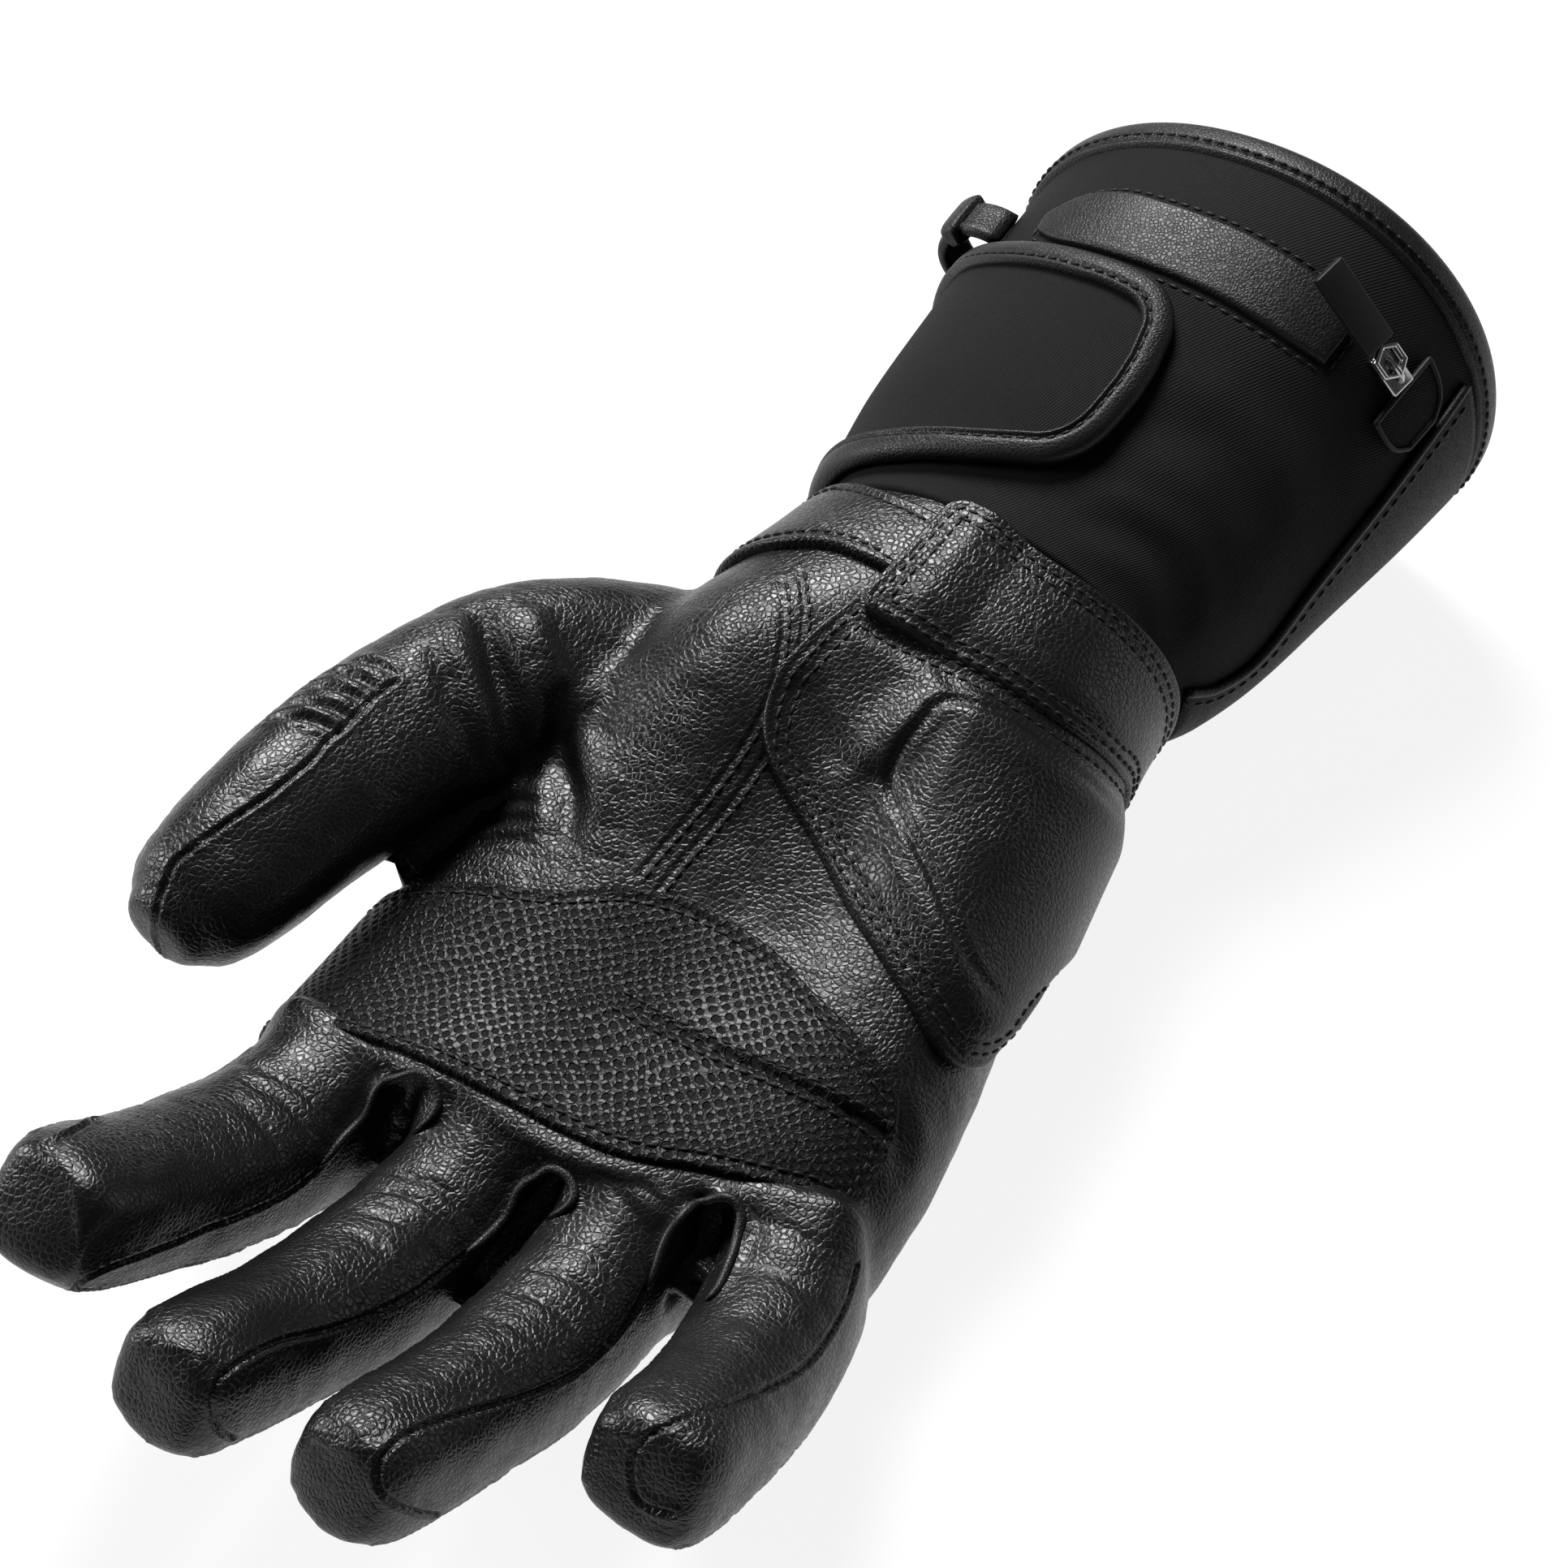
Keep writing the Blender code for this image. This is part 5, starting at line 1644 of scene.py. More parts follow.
@dataclass
class Laid:
    """A piece of leather or cloth laid on the glove between two edges, with rounded, sewn edges."""

    name: str
    body: Body
    material: bpy.types.Material
    span: Callable
    angles: tuple
    thickness: Callable
    lift: Callable = lambda angle: LAY + 0.0 * angle
    pitch: float = 0.0010
    rows: tuple = (0.0024,)
    rounding: float = 0.0009
    sunk: float = 0.0010
    forms: Sequence = ()
    seams: Sequence = ()
    samples: int = 200
    margin: float = 0.0035
    reach: float = 0.0080
    edge_share: float = 0.3
    row_depth: float = 0.22
    row_width: float = 0.62
    stitch_lift: float = 3.2

    def grid(self) -> tuple[np.ndarray, np.ndarray]:
        """Angles in degrees and places along Y of the piece's grid."""
        fine = np.linspace(*self.angles, self.samples)
        low, high = self.span(fine)
        lengths = arc_lengths(self.body.point((low + high) / 2, np.radians(fine)))
        across = np.interp(stations(lengths[-1], self.pitch), lengths, fine)
        low, high = self.span(across)
        shares = stations(float(np.max(high - low)), self.pitch)
        near = int(np.sum(shares < self.margin))
        along = []
        for start, end in zip(low, high):
            own = stations(end - start, self.pitch) if len(shares) < 2 * near + 1 else shares.copy()
            own = np.interp(np.linspace(0.0, 1.0, len(shares)), np.linspace(0.0, 1.0, len(own)), own)
            edge = shares[:near] * min(1.0, (end - start) / (2.4 * shares[near - 1]))
            own[:near] = edge
            own[-near:] = (end - start) - edge[::-1]
            own[near - 1:-near + 1] = np.linspace(own[near - 1], own[-near], len(own) - 2 * near + 2)
            along.append(start + own)
        return np.broadcast_to(across[:, None], (len(across), len(shares))), np.array(along)

    def build(self) -> bpy.types.Object:
        """Build the piece as one closed form."""
        angle, along = self.grid()
        turn = np.radians(angle)
        lift = self.lift(angle)
        ground = self.body.point(along, turn, lift)
        self.outline = border(ground)
        self.upward = self.body.outward(border(along), np.radians(border(angle)))
        self.inward = unit(np.cross(np.gradient(self.outline, axis=0), self.upward)) * -1.0
        across = arc_lengths(ground[:, ground.shape[1] // 2])
        self.flat = (float(across[-1]), float(np.ptp(along)))
        self.area = flat_area(ground)
        distance = np.full(angle.size, self.reach)
        chosen, near, _ = near_path(ground.reshape(-1, 3), self.outline, self.reach)
        distance[chosen] = near
        distance = distance.reshape(angle.shape)
        height = self.thickness(angle, along) * self.rise(distance)
        for row in self.rows:
            height -= self.row_depth * MM * np.exp(-(((distance - row) / (self.row_width * MM)) ** 2))
        if self.rows:
            height += self.row_depth * MM * ease((distance - self.rows[-1]) / (4.0 * MM))
        top = self.body.point(along, turn, lift + height).reshape(-1, 3)
        normals = self.body.outward(along, turn).reshape(-1, 3)
        amount = np.zeros(len(top))
        for form in self.forms:
            form.push(top, amount)
        top = top + normals * (amount * ease(distance.ravel() / (2.0 * MM)))[:, None]
        top[:, 2] = np.maximum(top[:, 2], 0.0)
        under = self.body.point(along, turn, -self.sunk)
        piece = closed_sheet(self.name, top.reshape(ground.shape), under, self.material)
        flat = np.stack((np.broadcast_to(across[:, None], angle.shape), along), axis=2)
        add_surface_map(piece, np.tile(flat.reshape(-1, 2), (2, 1)))
        return piece

    def rise(self, distance: np.ndarray) -> np.ndarray:
        """Share of the thickness at distances from the edge, which is rounded."""
        round_edge = np.sqrt(1.0 - (1.0 - np.clip(distance / self.rounding, 0.0, 1.0)) ** 2)
        return self.edge_share + (1.0 - self.edge_share) * round_edge

    def sewing_lines(self, inset: float) -> list:
        """Lines at a distance inside the outline, broken where corners are too tight.

        Args:
            inset: The distance.

        Returns:
            Lines of points a little above the piece.
        """
        line = self.outline + self.inward * inset
        _, distance, _ = near_path(line, self.outline, inset * 2.0 + MM)
        lines, current = [], []
        for point, good in zip(line + self.upward * self.stitch_lift * MM, distance > inset * 0.93):
            if good:
                current.append(point)
            elif len(current) > SHORTEST_PATH:
                lines.append(np.array(current))
                current = []
        if len(current) > SHORTEST_PATH:
            lines.append(np.array(current))
        return lines


def sweep(path: np.ndarray, across: np.ndarray, outward: np.ndarray, profile: np.ndarray) -> np.ndarray:
    """Rings of a profile carried along a path, given with its axes at each point."""
    return path[:, None] + across[:, None] * profile[None, :, :1] + outward[:, None] * profile[None, :, 1:]


def oval_profile(width: float, height: float, squareness: float, sides: int) -> np.ndarray:
    """Profile of a soft-cornered strip."""
    a, b = oval(np.linspace(0.0, 2 * np.pi, sides, endpoint=False), width / 2, height / 2, squareness)
    return np.stack((a, b), axis=1)


@dataclass
class Palm:
    """Grip patch, wrist band, strap and padded heel guard sewn on the hand."""

    body: Body
    wardrobe: Wardrobe
    stitching: Stitching
    view: PhotoView = PhotoView()
    double_rows: tuple = (0.0022, 0.0046)
    patch_pitch: float = 0.0009
    slit_points: int = 60
    slit_mouth: int = 24
    slit_seam: float = 0.0020
    guard_fill: float = 0.8
    guard_sag: tuple = (0.25, 0.0090, 0.0050)

    def build(self) -> None:
        """Build the pieces and their stitches."""
        patch = self.patch()
        band = self.piece("band_leather", hand_span(WRIST_BAND), WRIST_BAND, BAND_THICKNESS)
        strap = self.strap()
        guard = self.guard()
        self.finish(patch, "palm_patch", Slot.PERFORATED)
        self.finish(band, "wrist_band", Slot.LEATHER)
        self.finish(strap, "wrist_strap", Slot.LEATHER)
        self.finish(guard, "heel_guard", Slot.LEATHER)

    def piece(self, name: str, span: Callable, table: Sequence, thickness: float) -> Laid:
        """A laid piece of even thickness."""
        return Laid(
            name, self.body, self.wardrobe.leather, span, (table[0][0], table[-1][0]),
            lambda angle, _: thickness + 0.0 * angle,
        )

    def patch(self) -> Laid:
        """Perforated patch, parted by a slit towards the little finger."""
        laid = self.piece("patch_leather", hand_span(PALM_PATCH), PALM_PATCH, PATCH_THICKNESS)
        laid.material = self.wardrobe.perforated
        laid.pitch = self.patch_pitch
        laid.lift = lambda angle: PATCH_LIFT + 0.0 * angle
        angle = np.linspace(PALM_SLIT[0][0], PALM_SLIT[-1][0], self.slit_points)
        along = -edge_at(PALM_SLIT, 1, angle) * HAND_LENGTH
        turn, height = np.radians(angle), PATCH_LIFT + PATCH_THICKNESS
        line = self.body.point(along, turn, height)
        laid.forms = [
            Crease(line, 1.6 * MM, 0.7 * MM, 0.3 * MM),
            Crease(line[:self.slit_mouth], 1.4 * MM, 1.3 * MM),
        ]
        laid.seams = [self.body.point(along + side * self.slit_seam, turn, height) for side in (-1, 1)]
        return laid

    def strap(self) -> Laid:
        """Strap over the end of the wrist band."""
        laid = self.piece("strap_leather", hand_span(WRIST_STRAP), WRIST_STRAP, STRAP_THICKNESS)
        start = WRIST_BAND[0][0] - STRAP_RAMP
        rise = BAND_THICKNESS + LAY
        laid.lift = lambda angle: LAY + np.clip((angle - start) / STRAP_RAMP, 0.0, 1.0) * rise
        laid.rows = self.double_rows
        return laid

    def guard(self) -> Laid:
        """Heel guard, filled out where its pad lies."""
        laid = self.piece("guard_leather", self.guard_span, HEEL_GUARD, GUARD_THICKNESS)
        laid.thickness = self.guard_thickness
        laid.rows = self.double_rows
        return laid

    @staticmethod
    def guard_span(angle: np.ndarray) -> tuple[np.ndarray, np.ndarray]:
        """Edges of the heel guard, whose cuffward edge follows the strap."""
        strap = -edge_at(WRIST_STRAP, 1, np.minimum(angle, WRIST_STRAP[-2][0])) * HAND_LENGTH
        return -edge_at(HEEL_GUARD, 1, angle) * HAND_LENGTH, strap + GUARD_TUCK

    def guard_thickness(self, angle: np.ndarray, along: np.ndarray) -> np.ndarray:
        """Thickness of the guard with its pad.

        Args:
            angle: Angles round the hand in degrees.
            along: Places along Y from the wrist seam.

        Returns:
            The thickness at each place.
        """
        low, high = self.guard_span(angle.ravel())
        low, high = low.reshape(angle.shape), high.reshape(angle.shape)
        arc = math.radians(1.0) * PALM_WIDTH / 2
        inside = (
            ease((along - low - PAD_MARGIN + PAD_SLOPE) / PAD_SLOPE)
            * ease((high - GUARD_TUCK - along) / PAD_SLOPE)
            * ease((angle - PAD_ANGLES[0]) * arc / PAD_SLOPE)
            * ease((PAD_ANGLES[1] - angle) * arc / PAD_SLOPE)
        )
        share, start, slope = self.guard_sag
        flatter = 1.0 - share * ease((along - high + start) / slope)
        return GUARD_THICKNESS * flatter + PAD_HEIGHT * inside

    def finish(self, laid: Laid, node: str, slot: Slot) -> None:
        """Build a piece and sew its edges.

        Args:
            laid: The piece.
            node: CAD node that it stands for.
            slot: Its slot.
        """
        piece = laid.build()
        if node == "heel_guard":
            tree = surface_tree(piece)
            press(piece, [self.view.onto(tree, line.pixels, 60) for line in GUARD_FOLDS], GUARD_FOLDS)
        seat(piece, slot, node)
        lines = [line for inset in laid.rows for line in laid.sewing_lines(inset)] + list(laid.seams)
        sewn = self.stitching.build(laid.name.split("_")[0] + "_stitches", lines, surface_tree(piece))
        seat(sewn, Slot.BINDING)


@dataclass(frozen=True)
class SewnRoll:
    """Groove that a row of stitches pulls into rolled leather, with a swelling beside it, in millimetres."""

    row: float
    depth: float
    swelling: float
    beside: float
    width: float = 0.5
    swelling_width: float = 0.5

    def dip(self, across: np.ndarray) -> np.ndarray:
        """Depth at places across the leather, in metres as they are."""
        groove = np.exp(-(((across - self.row) / (self.width * MM)) ** 2))
        swelling = np.exp(-(((across - self.row - self.beside * MM) / (self.swelling_width * MM)) ** 2))
        return self.depth * MM * (groove - self.swelling * swelling)


# Soft folds of the cuff's cloth: depth, width and lip in millimetres, and places along it and round it
CLOTH_FOLDS = (
    (0.9, 5.0, 0.5, ((28, 30), (34, 52), (30, 76))),
    (0.8, 3.0, 0.6, ((6, 20), (12, 48), (8, 74))),
    (0.6, 6.0, 0.3, ((44, 10), (50, 34), (46, 60))),
)


@dataclass
class Cuff:
    """Fabric cuff with its rim binding, panels, flap, zip and pull loop."""

    body: Body
    wardrobe: Wardrobe
    stitching: Stitching
    sides: int = 180
    rings: int = 80
    wrist_overlap: float = 0.0015
    rim_overlap: float = 0.0020
    merge: float = 0.00001
    rim_sides: int = 220
    rim_profile: int = 56
    rim_squareness: float = 2.6
    rim_roll: SewnRoll = SewnRoll(RIM_ROW, 0.7, 0.5, -1.1)
    panel_rows: int = 60
    panel_width: float = 0.060
    panel_pitch: float = 0.0018
    panel_sunk: float = 0.0010
    panel_spread: float = 1.15
    piping: tuple = (0.0019, 0.0022)
    piping_lift: float = 0.0003
    piping_sides: int = 10
    panel_row: float = 0.0024
    panel_reach: float = 0.0015
    zip_row: float = 0.0017
    flap_binding: tuple = (0.0064, 0.0042)
    flap_squareness: float = 2.4
    flap_sides: int = 48
    flap_points: int = 220
    flap_tilt: float = 0.15
    flap_inset: float = 0.0006
    flap_lift: float = 0.0022
    flap_row_lift: float = 0.0042
    flap_roll: SewnRoll = SewnRoll(FLAP_ROW, 0.6, 0.6, 1.0, swelling_width=0.45)

    def build(self) -> None:
        """Build the pieces of the cuff in order."""
        self.gauntlet()
        self.rim()
        self.side_panel()
        self.zip_strip()
        self.flap()
        PullLoop(self.body, self.wardrobe).build()
        Zip(self.body, self.wardrobe).build()

    def gauntlet(self) -> None:
        """Build the fabric tube, open at both ends, with its outer and inner wall."""
        angles = np.linspace(-np.pi / 2, 1.5 * np.pi, self.sides + 1)
        alongs = np.linspace(-self.wrist_overlap, CUFF_LENGTH + self.rim_overlap, self.rings)
        outer = self.body.point(alongs[:, None], angles[None, :]).reshape(-1, 3)
        normals = self.body.outward(alongs[:, None] + 0.0 * angles[None, :], angles[None, :]).reshape(-1, 3)
        amount = np.zeros(len(outer))
        for depth, width, lip, places in CLOTH_FOLDS:
            Crease(self.line(places), depth * MM, width * MM, lip * MM).push(outer, amount)
        outer = outer + normals * amount[:, None]
        outer[:, 2] = np.maximum(outer[:, 2], 0.0)
        inner = self.body.point(alongs[:, None], angles[None, :], -FABRIC_WALL).reshape(-1, 3)
        count = self.rings * (self.sides + 1)
        index = np.arange(count).reshape(self.rings, self.sides + 1)
        faces = [face[::-1] for face in quads(index.T)] + quads((index + count).T)
        for ring, turn in ((index[0], 1), (index[-1], -1)):
            faces += [(a, a + count, b + count, b)[::turn] for a, b in zip(ring[:-1], ring[1:])]
        piece = new_object("cuff_cloth", np.concatenate((outer, inner)), faces, self.wardrobe.fabric)
        round_wrist = np.tile(angles * WRIST_WIDTH / 2, self.rings)
        flat = np.stack((round_wrist, np.repeat(alongs, self.sides + 1)), axis=1)
        add_surface_map(piece, np.tile(flat, (2, 1)))
        turn_outwards(piece, merge=self.merge)
        piece.data.shade_smooth()
        grid = outer.reshape(self.rings, self.sides + 1, 3)
        flat_area(grid)
        self.cloth = piece
        seat(piece, Slot.FABRIC, "gauntlet")

    def line(self, places: Sequence[tuple[float, float]], count: int = 32) -> np.ndarray:
        """Curve on the cuff through (mm along Y from the wrist seam, angle in degrees)."""
        alongs, turn = smooth_places(places, count)
        return self.body.point(alongs * MM, turn)

    def rim(self) -> None:
        """Rolled leather binding round the rim, sewn with one row."""
        angles = np.linspace(0.0, 2 * np.pi, self.rim_sides, endpoint=False)
        turn = np.linspace(0.0, 2 * np.pi, self.rim_profile, endpoint=False)
        half = FABRIC_WALL / 2 + BINDING_BULGE
        a, b = oval(turn, BINDING_WIDTH / 2, half, self.rim_squareness)
        b = b - self.rim_roll.dip(a) * (b > 0.0)
        rings = self.body.point(CUFF_LENGTH, angles[:, None], b[None, :] - FABRIC_WALL / 2)
        middle = self.body.shift[1] + CUFF_LENGTH + GAP + BINDING_WIDTH / 2
        rings[:, :, 1] = middle + a[None, :]
        rings[:, :, 2] = np.maximum(rings[:, :, 2], 0.0)
        index = np.arange(rings.shape[0] * rings.shape[1]).reshape(rings.shape[:2])
        closed = np.concatenate((index, index[:1]))
        closed = np.concatenate((closed, closed[:, :1]), axis=1)
        piece = new_object("rim_leather", rings.reshape(-1, 3), quads(closed), self.wardrobe.binding)
        turn_outwards(piece)
        piece.data.shade_smooth()
        seat(piece, Slot.BINDING, "rim_binding")
        row = self.body.point(CUFF_LENGTH + 0.0 * angles, angles, half)
        row[:, 1] = middle + RIM_ROW
        row = np.concatenate((row, row[:1]))
        seat(self.stitching.build("rim_stitches", [row], surface_tree(piece)), Slot.BINDING)

    def side_panel(self) -> None:
        """Leather panel on the little-finger side, with a piped seam."""
        seam = np.array(SIDE_PANEL_SEAM)
        shares = np.linspace(seam[0, 0], seam[-1, 0], self.panel_rows)
        edge = smooth_between(seam[:, 0], seam[:, 1], shares)[:, 0]
        steps = stations(self.panel_width, self.panel_pitch) / self.panel_width
        turn = np.radians(SIDE_PANEL_BACK + (edge[:, None] - SIDE_PANEL_BACK) * steps[None, :])
        along = np.broadcast_to(shares[:, None] * CUFF_LENGTH, turn.shape)
        top = self.body.point(along, turn, LAY + PANEL_THICKNESS)
        under = self.body.point(along, turn, -self.panel_sunk)
        # The panel takes the darker, duller copy of the goat leather: painted shade.
        piece = closed_sheet("shaded_panel_leather", top[:, ::-1], under[:, ::-1], self.wardrobe.panel)
        seat(piece, Slot.LEATHER, "cuff_side_panel")
        flat_area(top)
        line = self.body.point(shares * CUFF_LENGTH, np.radians(edge), LAY + self.piping_lift)
        outward = self.body.outward(shares * CUFF_LENGTH, np.radians(edge))
        across = unit(np.cross(np.gradient(line, axis=0), outward))
        rings = sweep(line, across, outward, oval_profile(*self.piping, 2.0, self.piping_sides))
        seat(new_object("panel_piping", *closed_tube(rings), self.wardrobe.binding), Slot.BINDING)
        tree = surface_tree(piece)
        row = line - across * self.panel_row
        if tree.find_nearest(Vector(row[len(row) // 2]))[3] >= self.panel_reach:
            row = 2 * line - row
        seat(self.stitching.build("panel_stitches", [row], tree), Slot.BINDING)

    def laid(self, name: str, table: Sequence, thickness: float, material: bpy.types.Material) -> Laid:
        """A piece of even thickness laid on the cuff."""
        return Laid(
            name, self.body, material, cuff_span(table), (table[0][0], table[-1][0]),
            lambda angle, _: thickness + 0.0 * angle,
        )

    def zip_strip(self) -> None:
        """Smooth leather strip along the zip, sewn to the cloth beside its edges."""
        laid = self.laid("zip_leather", ZIP_STRIP, ZIP_STRIP_THICKNESS, self.wardrobe.binding)
        laid.rows = ()
        strip = laid.build()
        seat(strip, Slot.BINDING, "zip_strip")
        row = laid.outline - laid.inward * self.zip_row
        seat(self.stitching.build("zip_stitches", [row], surface_tree(self.cloth)), Slot.BINDING)

    def flap(self) -> None:
        """Cloth flap with a leather binding round its edge."""
        laid = self.laid("flap_cloth", CUFF_FLAP, FLAP_THICKNESS, self.wardrobe.fabric)
        laid.rows = ()
        piece = laid.build()
        seat(piece, Slot.FABRIC, "cuff_flap")
        path, across, outward = self.flap_edge(laid)
        profile = oval_profile(*self.flap_binding, self.flap_squareness, self.flap_sides)
        dip = self.flap_roll.dip(profile[:, 0]) * (profile[:, 1] > 0.0)
        profile[:, 1] += self.flap_tilt * profile[:, 0] - dip
        middle = path + across * self.flap_inset + outward * self.flap_lift
        rings = sweep(middle, across, outward, profile)
        binding = new_object("flap_leather", *closed_tube(rings), self.wardrobe.binding)
        turn_outwards(binding)
        seat(binding, Slot.BINDING, "flap_piping")
        row = path + across * (self.flap_inset + FLAP_ROW) + outward * self.flap_row_lift
        seat(self.stitching.build("flap_stitches", [row], surface_tree(binding)), Slot.BINDING)

    def flap_edge(self, laid: Laid) -> tuple[np.ndarray, np.ndarray, np.ndarray]:
        """Middle line of the flap's binding, with its axes.

        Args:
            laid: The flap, built.

        Returns:
            Points of the line, and the directions inwards and outwards at each.
        """
        start = int(np.argmax(np.linalg.norm(laid.outline - laid.outline[0], axis=1)))
        line, inward = np.roll(laid.outline, -start, axis=0), np.roll(laid.inward, -start, axis=0)
        lengths = arc_lengths(line)
        good = np.concatenate(([True], np.diff(lengths) > 1e-6))
        at = np.linspace(0.0, lengths[-1], self.flap_points)
        line, inward = (
            np.stack([np.interp(at, lengths[good], values[good, axis]) for axis in range(3)], axis=1)
            for values in (line, inward)
        )
        inward = unit(inward)
        centre = self.body.point(CUFF_LENGTH / 2, 0.0) + self.body.point(CUFF_LENGTH / 2, np.pi)
        radial = line - centre / 2
        radial[:, 1] = 0.0
        heading = unit(np.gradient(line, axis=0))
        outward = unit(np.cross(inward, heading))
        outward = outward * np.sign((outward * radial).sum(1))[:, None]
        return line, inward, outward


@dataclass
class PullLoop:
    """Arched pull loop near the rim, with its keeper."""

    body: Body
    wardrobe: Wardrobe
    squareness: float = 4.0
    sides: int = 28
    keeper_sides: int = 24
    roll_place: float = 0.0036
    roll_width: float = 0.0009
    roll_height: float = 0.25
    keeper_ends: float = 0.90

    def build(self) -> None:
        """Build the loop on its two feet, and the keeper round it."""
        feet, outward = [], np.zeros(3)
        for angle, clearance in LOOP_FEET:
            edge = cuff_span(CUFF_FLAP)(np.array((angle,)))[1][0]
            along = edge + FLAP_PIPING_RADIUS + clearance + LOOP_WIDTH / 2
            feet.append(self.body.point(along, math.radians(angle)))
            outward = outward + self.body.outward(along, math.radians(angle))
        outward = unit(outward)
        share = np.linspace(0.0, 1.0, LOOP_STEPS + 1)
        rise = (1.0 - np.abs(2.0 * share - 1.0) ** LOOP_SQUARENESS) ** LOOP_FILL
        path = feet[0] + share[:, None] * (feet[1] - feet[0]) + outward * (LAY + LOOP_RISE * rise)[:, None]
        across = np.broadcast_to(unit(np.cross(outward, feet[1] - feet[0])), path.shape)
        normal = unit(np.cross(across, unit(np.gradient(path, axis=0))))
        profile = oval_profile(LOOP_WIDTH, LOOP_THICKNESS, self.squareness, self.sides)
        roll = np.exp(-(((np.abs(profile[:, 0]) - self.roll_place) / self.roll_width) ** 2))
        profile[:, 1] *= 1.0 + self.roll_height * roll
        self.place("loop_leather", sweep(path, across, normal, profile), "pull_loop")
        part = slice(*(int(s * LOOP_STEPS) for s in KEEPER_SHARES))
        size = (LOOP_WIDTH + 2 * KEEPER_THICKNESS, LOOP_THICKNESS + 2 * KEEPER_THICKNESS)
        profile = oval_profile(*size, self.squareness, self.keeper_sides)
        rings = sweep(path[part], across[part], normal[part], profile)
        ends = np.ones(len(rings))
        ends[[0, -1]] = self.keeper_ends
        middle = path[part, None]
        self.place("keeper_leather", middle + (rings - middle) * ends[:, None, None], "loop_keeper")

    def place(self, name: str, rings: np.ndarray, node: str) -> None:
        """Make a closed tube of rings one of the pieces."""
        piece = new_object(name, *closed_tube(rings), self.wardrobe.binding)
        turn_outwards(piece)
        seat(piece, Slot.BINDING, node)


@dataclass
class Zip:
    """Slider with its bridge, six-sided ring and rubber tab, and the patch at the zip's end."""

    body: Body
    wardrobe: Wardrobe
    lip_sides: int = 8
    edge_steps: int = 3
    slider_edge: float = 0.0006
    arch_radius: float = 0.0015
    arch_wire: float = 0.00065
    arch_stretch: float = 1.5
    ring_edge: float = 0.0005
    tab_edge: float = 0.00045
    tab_rim: float = 0.0011
    tab_sink: float = 0.0005
    smooth_angle: float = 35.0

    def build(self) -> None:
        """Build the pieces where the CAD model has them."""
        laid = Laid(
            "garage_cloth", self.body, self.wardrobe.fabric, cuff_span(ZIP_GARAGE),
            (ZIP_GARAGE[0][0], ZIP_GARAGE[-1][0]), lambda angle, _: GARAGE_THICKNESS + 0.0 * angle, rows=(),
        )
        seat(laid.build(), Slot.BINDING, "zip_garage")
        turn = np.linspace(0.0, 2 * np.pi, self.lip_sides, endpoint=False)
        profile = np.stack((np.cos(turn), np.sin(turn)), axis=1) * GARAGE_LIP
        rings = sweep(laid.outline + laid.upward * GARAGE_THICKNESS, laid.inward, laid.upward, profile)
        lip = new_object("garage_lip", *closed_tube(rings), self.wardrobe.rubber)
        turn_outwards(lip)
        seat(lip, Slot.BINDING)
        turn = math.degrees((SLIDER_LENGTH / 2 + SLIDER_CLEARANCE) / (RIM_WIDTH / 2))
        angle = math.radians(ZIP_GARAGE[-1][0] + turn)
        along = SLIDER_ALONG * CUFF_LENGTH
        place = self.body.point(along, angle)
        ahead = unit(self.body.point(along, angle + math.radians(1.0)) - place)
        up = self.body.outward(along, angle)
        side = unit(np.cross(up, ahead))
        self.axes = Matrix((ahead, side, up)).transposed().to_4x4()
        self.place = Matrix.Translation(Vector(place))
        self.slider()
        self.ring()
        self.tab()

    def round_edges(self, piece: bpy.types.Object, width: float) -> None:
        """Round the edges of the active piece."""
        bevel = piece.modifiers.new("edges", "BEVEL")
        bevel.width = width
        bevel.segments = self.edge_steps
        bpy.ops.object.modifier_apply(modifier=bevel.name)

    def settle(self, piece: bpy.types.Object) -> None:
        """Move a piece modelled at the origin to the zip, with its place in its mesh."""
        use_only(piece)
        bpy.ops.object.transform_apply(location=True, rotation=True, scale=True)
        piece.data.transform(self.place @ self.axes)
        piece.data.shade_smooth()
        use_only(piece)
        bpy.ops.object.shade_smooth_by_angle(angle=math.radians(self.smooth_angle))

    def slider(self) -> None:
        """A rounded plate with a bridge on top."""
        size = (SLIDER_LENGTH, SLIDER_WIDTH, SLIDER_HEIGHT)
        bpy.ops.mesh.primitive_cube_add(size=1.0, location=(0.0, 0.0, LAY + SLIDER_HEIGHT / 2), scale=size)
        plate = bpy.context.object
        plate.name = "slider_metal"
        use_only(plate)
        bpy.ops.object.transform_apply(location=True, rotation=False, scale=True)
        self.round_edges(plate, self.slider_edge)
        bpy.ops.mesh.primitive_torus_add(
            major_radius=self.arch_radius, minor_radius=self.arch_wire, major_segments=24, minor_segments=10,
            location=(0.0, 0.0, LAY + SLIDER_HEIGHT), rotation=(math.pi / 2, 0.0, 0.0),
        )
        arch = bpy.context.object
        arch.scale = (self.arch_stretch, 1.0, 1.0)
        use_only(arch)
        arch.select_set(True)
        plate.select_set(True)
        bpy.context.view_layer.objects.active = plate
        bpy.ops.object.join()
        plate.data.materials.clear()
        plate.data.materials.append(self.wardrobe.metal)
        self.settle(plate)
        seat(plate, Slot.METAL, "zip_slider")

    def ring(self) -> None:
        """Six-sided wire ring through the bridge."""
        bpy.ops.mesh.primitive_torus_add(
            major_radius=RING_RADIUS, minor_radius=RING_WIRE, major_segments=6, minor_segments=10,
            location=(RING_RADIUS - BRIDGE_WIDTH / 2, 0.0, LAY + SLIDER_HEIGHT + GAP + RING_WIRE),
        )
        ring = bpy.context.object
        ring.name = "ring_metal"
        ring.data.materials.append(self.wardrobe.metal)
        use_only(ring)
        self.round_edges(ring, self.ring_edge)
        self.settle(ring)
        seat(ring, Slot.METAL, "zip_ring")

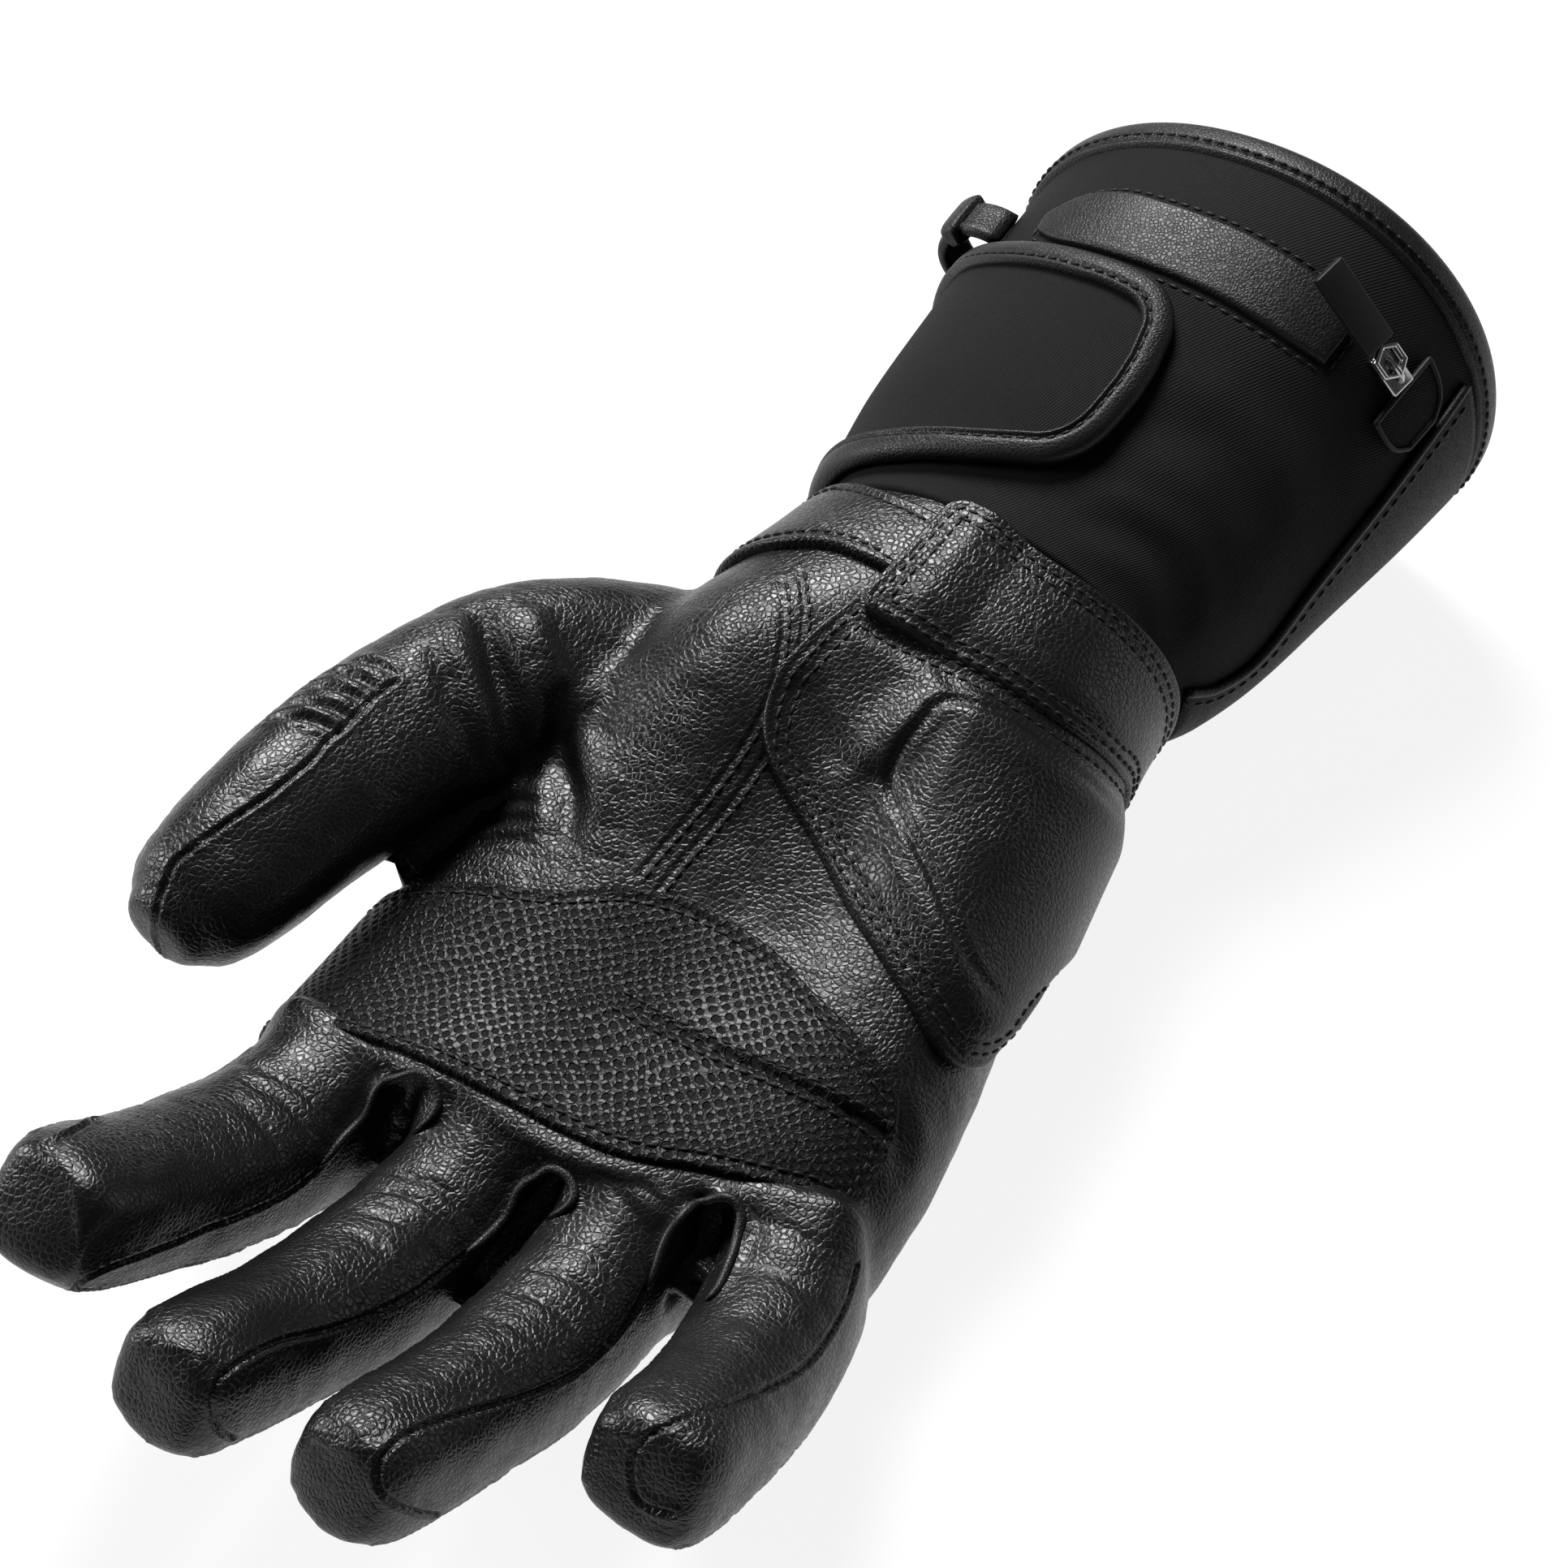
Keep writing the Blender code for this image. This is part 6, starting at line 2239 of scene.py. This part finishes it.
    def tab(self) -> None:
        """Rubber tab with a raised rim round a sunken face."""
        middle = RING_RADIUS * 2 - BRIDGE_WIDTH / 2 + GAP + TAB_LENGTH / 2
        lift = LAY + SLIDER_HEIGHT + GAP + RING_WIRE
        size = (TAB_LENGTH, TAB_WIDTH, TAB_THICKNESS)
        bpy.ops.mesh.primitive_cube_add(size=1.0, location=(middle, 0.0, lift), scale=size)
        tab = bpy.context.object
        tab.name = "tab_rubber"
        tab.data.materials.append(self.wardrobe.rubber)
        use_only(tab)
        bpy.ops.object.transform_apply(location=True, rotation=False, scale=True)
        for face in tab.data.polygons:
            face.select = face.normal.z > 0.9
        bpy.ops.object.mode_set(mode="EDIT")
        bpy.ops.mesh.inset(thickness=self.tab_rim)
        bpy.ops.mesh.extrude_region_move(TRANSFORM_OT_translate={"value": (0.0, 0.0, -self.tab_sink)})
        bpy.ops.object.mode_set(mode="OBJECT")
        self.round_edges(tab, self.tab_edge)
        self.settle(tab)
        seat(tab, Slot.RUBBER, "zip_pull")


@dataclass(frozen=True)
class Lamp:
    """A square soft light aimed at the glove."""

    name: str
    toward: tuple
    distance: float
    size: float
    power: float

    def build(self, axes: Sequence[Vector]) -> None:
        """Hang the lamp in its direction, given as shares of the camera's right, up and back."""
        right, up, back = (axis * share for axis, share in zip(axes, self.toward))
        place = (right + up + back).normalized() * self.distance
        data = bpy.data.lights.new(self.name, "AREA")
        data.shape = "SQUARE"
        data.size = self.size
        data.energy = self.power
        lamp = bpy.data.objects.new(self.name, data)
        lamp.location = place
        lamp.rotation_euler = place.to_track_quat("Z", "Y").to_euler()
        bpy.context.scene.collection.objects.link(lamp)


LAMPS = (
    Lamp("key", (-0.10, 0.97, 0.24), 1.25, 0.46, 29.0),
    Lamp("left", (-1.0, 0.45, 0.20), 1.2, 0.40, 11.0),
    Lamp("right", (1.0, 0.35, 0.15), 1.3, 0.50, 1.0),
)


@dataclass
class Studio:
    """Camera at the photograph's angle, pale floor and soft lights."""

    view: PhotoView = PhotoView()
    floor_reach: float = 6.0
    floor_drop: float = 0.0004
    nearest: float = 0.01
    sky: float = 0.07

    def build(self, wardrobe: Wardrobe) -> None:
        """Add camera, floor, lights and world.

        Args:
            wardrobe: The finishes, of which the floor takes one.
        """
        axes = self.view.axes()
        data = bpy.data.cameras.new("camera")
        data.sensor_width = self.view.film
        data.lens = self.view.lens
        data.clip_start = self.nearest
        camera = bpy.data.objects.new("camera", data)
        camera.matrix_world = Matrix.Translation(self.view.place) @ Matrix(axes).transposed().to_4x4()
        bpy.context.scene.collection.objects.link(camera)
        bpy.context.scene.camera = camera
        corners = [(x, y, 0.0) for x, y in ((-1, -1), (1, -1), (1, 1), (-1, 1))]
        points = np.array(corners) * self.floor_reach - (0, 0, self.floor_drop)
        new_object("floor", points, [(0, 1, 2, 3)], wardrobe.floor)
        for lamp in LAMPS:
            lamp.build(axes)
        world = bpy.data.worlds.new("studio")
        world.use_nodes = True
        background = world.node_tree.nodes["Background"].inputs
        background["Color"].default_value = (1.0, 1.0, 1.0, 1.0)
        background["Strength"].default_value = self.sky
        bpy.context.scene.world = world
        bpy.context.scene.view_settings.view_transform = "Standard"


def main() -> None:
    """Build every piece of the glove's looks in order."""
    logging.basicConfig(level=logging.INFO, format="%(message)s")
    wardrobe = Wardrobe()
    body = Body()
    stitching = Stitching(wardrobe)
    hand = HandSkin(body, wardrobe, stitching)
    skin = hand.build()
    seat(skin, Slot.LEATHER, "palm_shell", "thumb", *(row[0] for row in FINGERS))
    hand.welts(skin)
    Palm(body, wardrobe, stitching).build()
    Cuff(body, wardrobe, stitching).build()
    Studio().build(wardrobe)


if __name__ == "__main__":
    main()
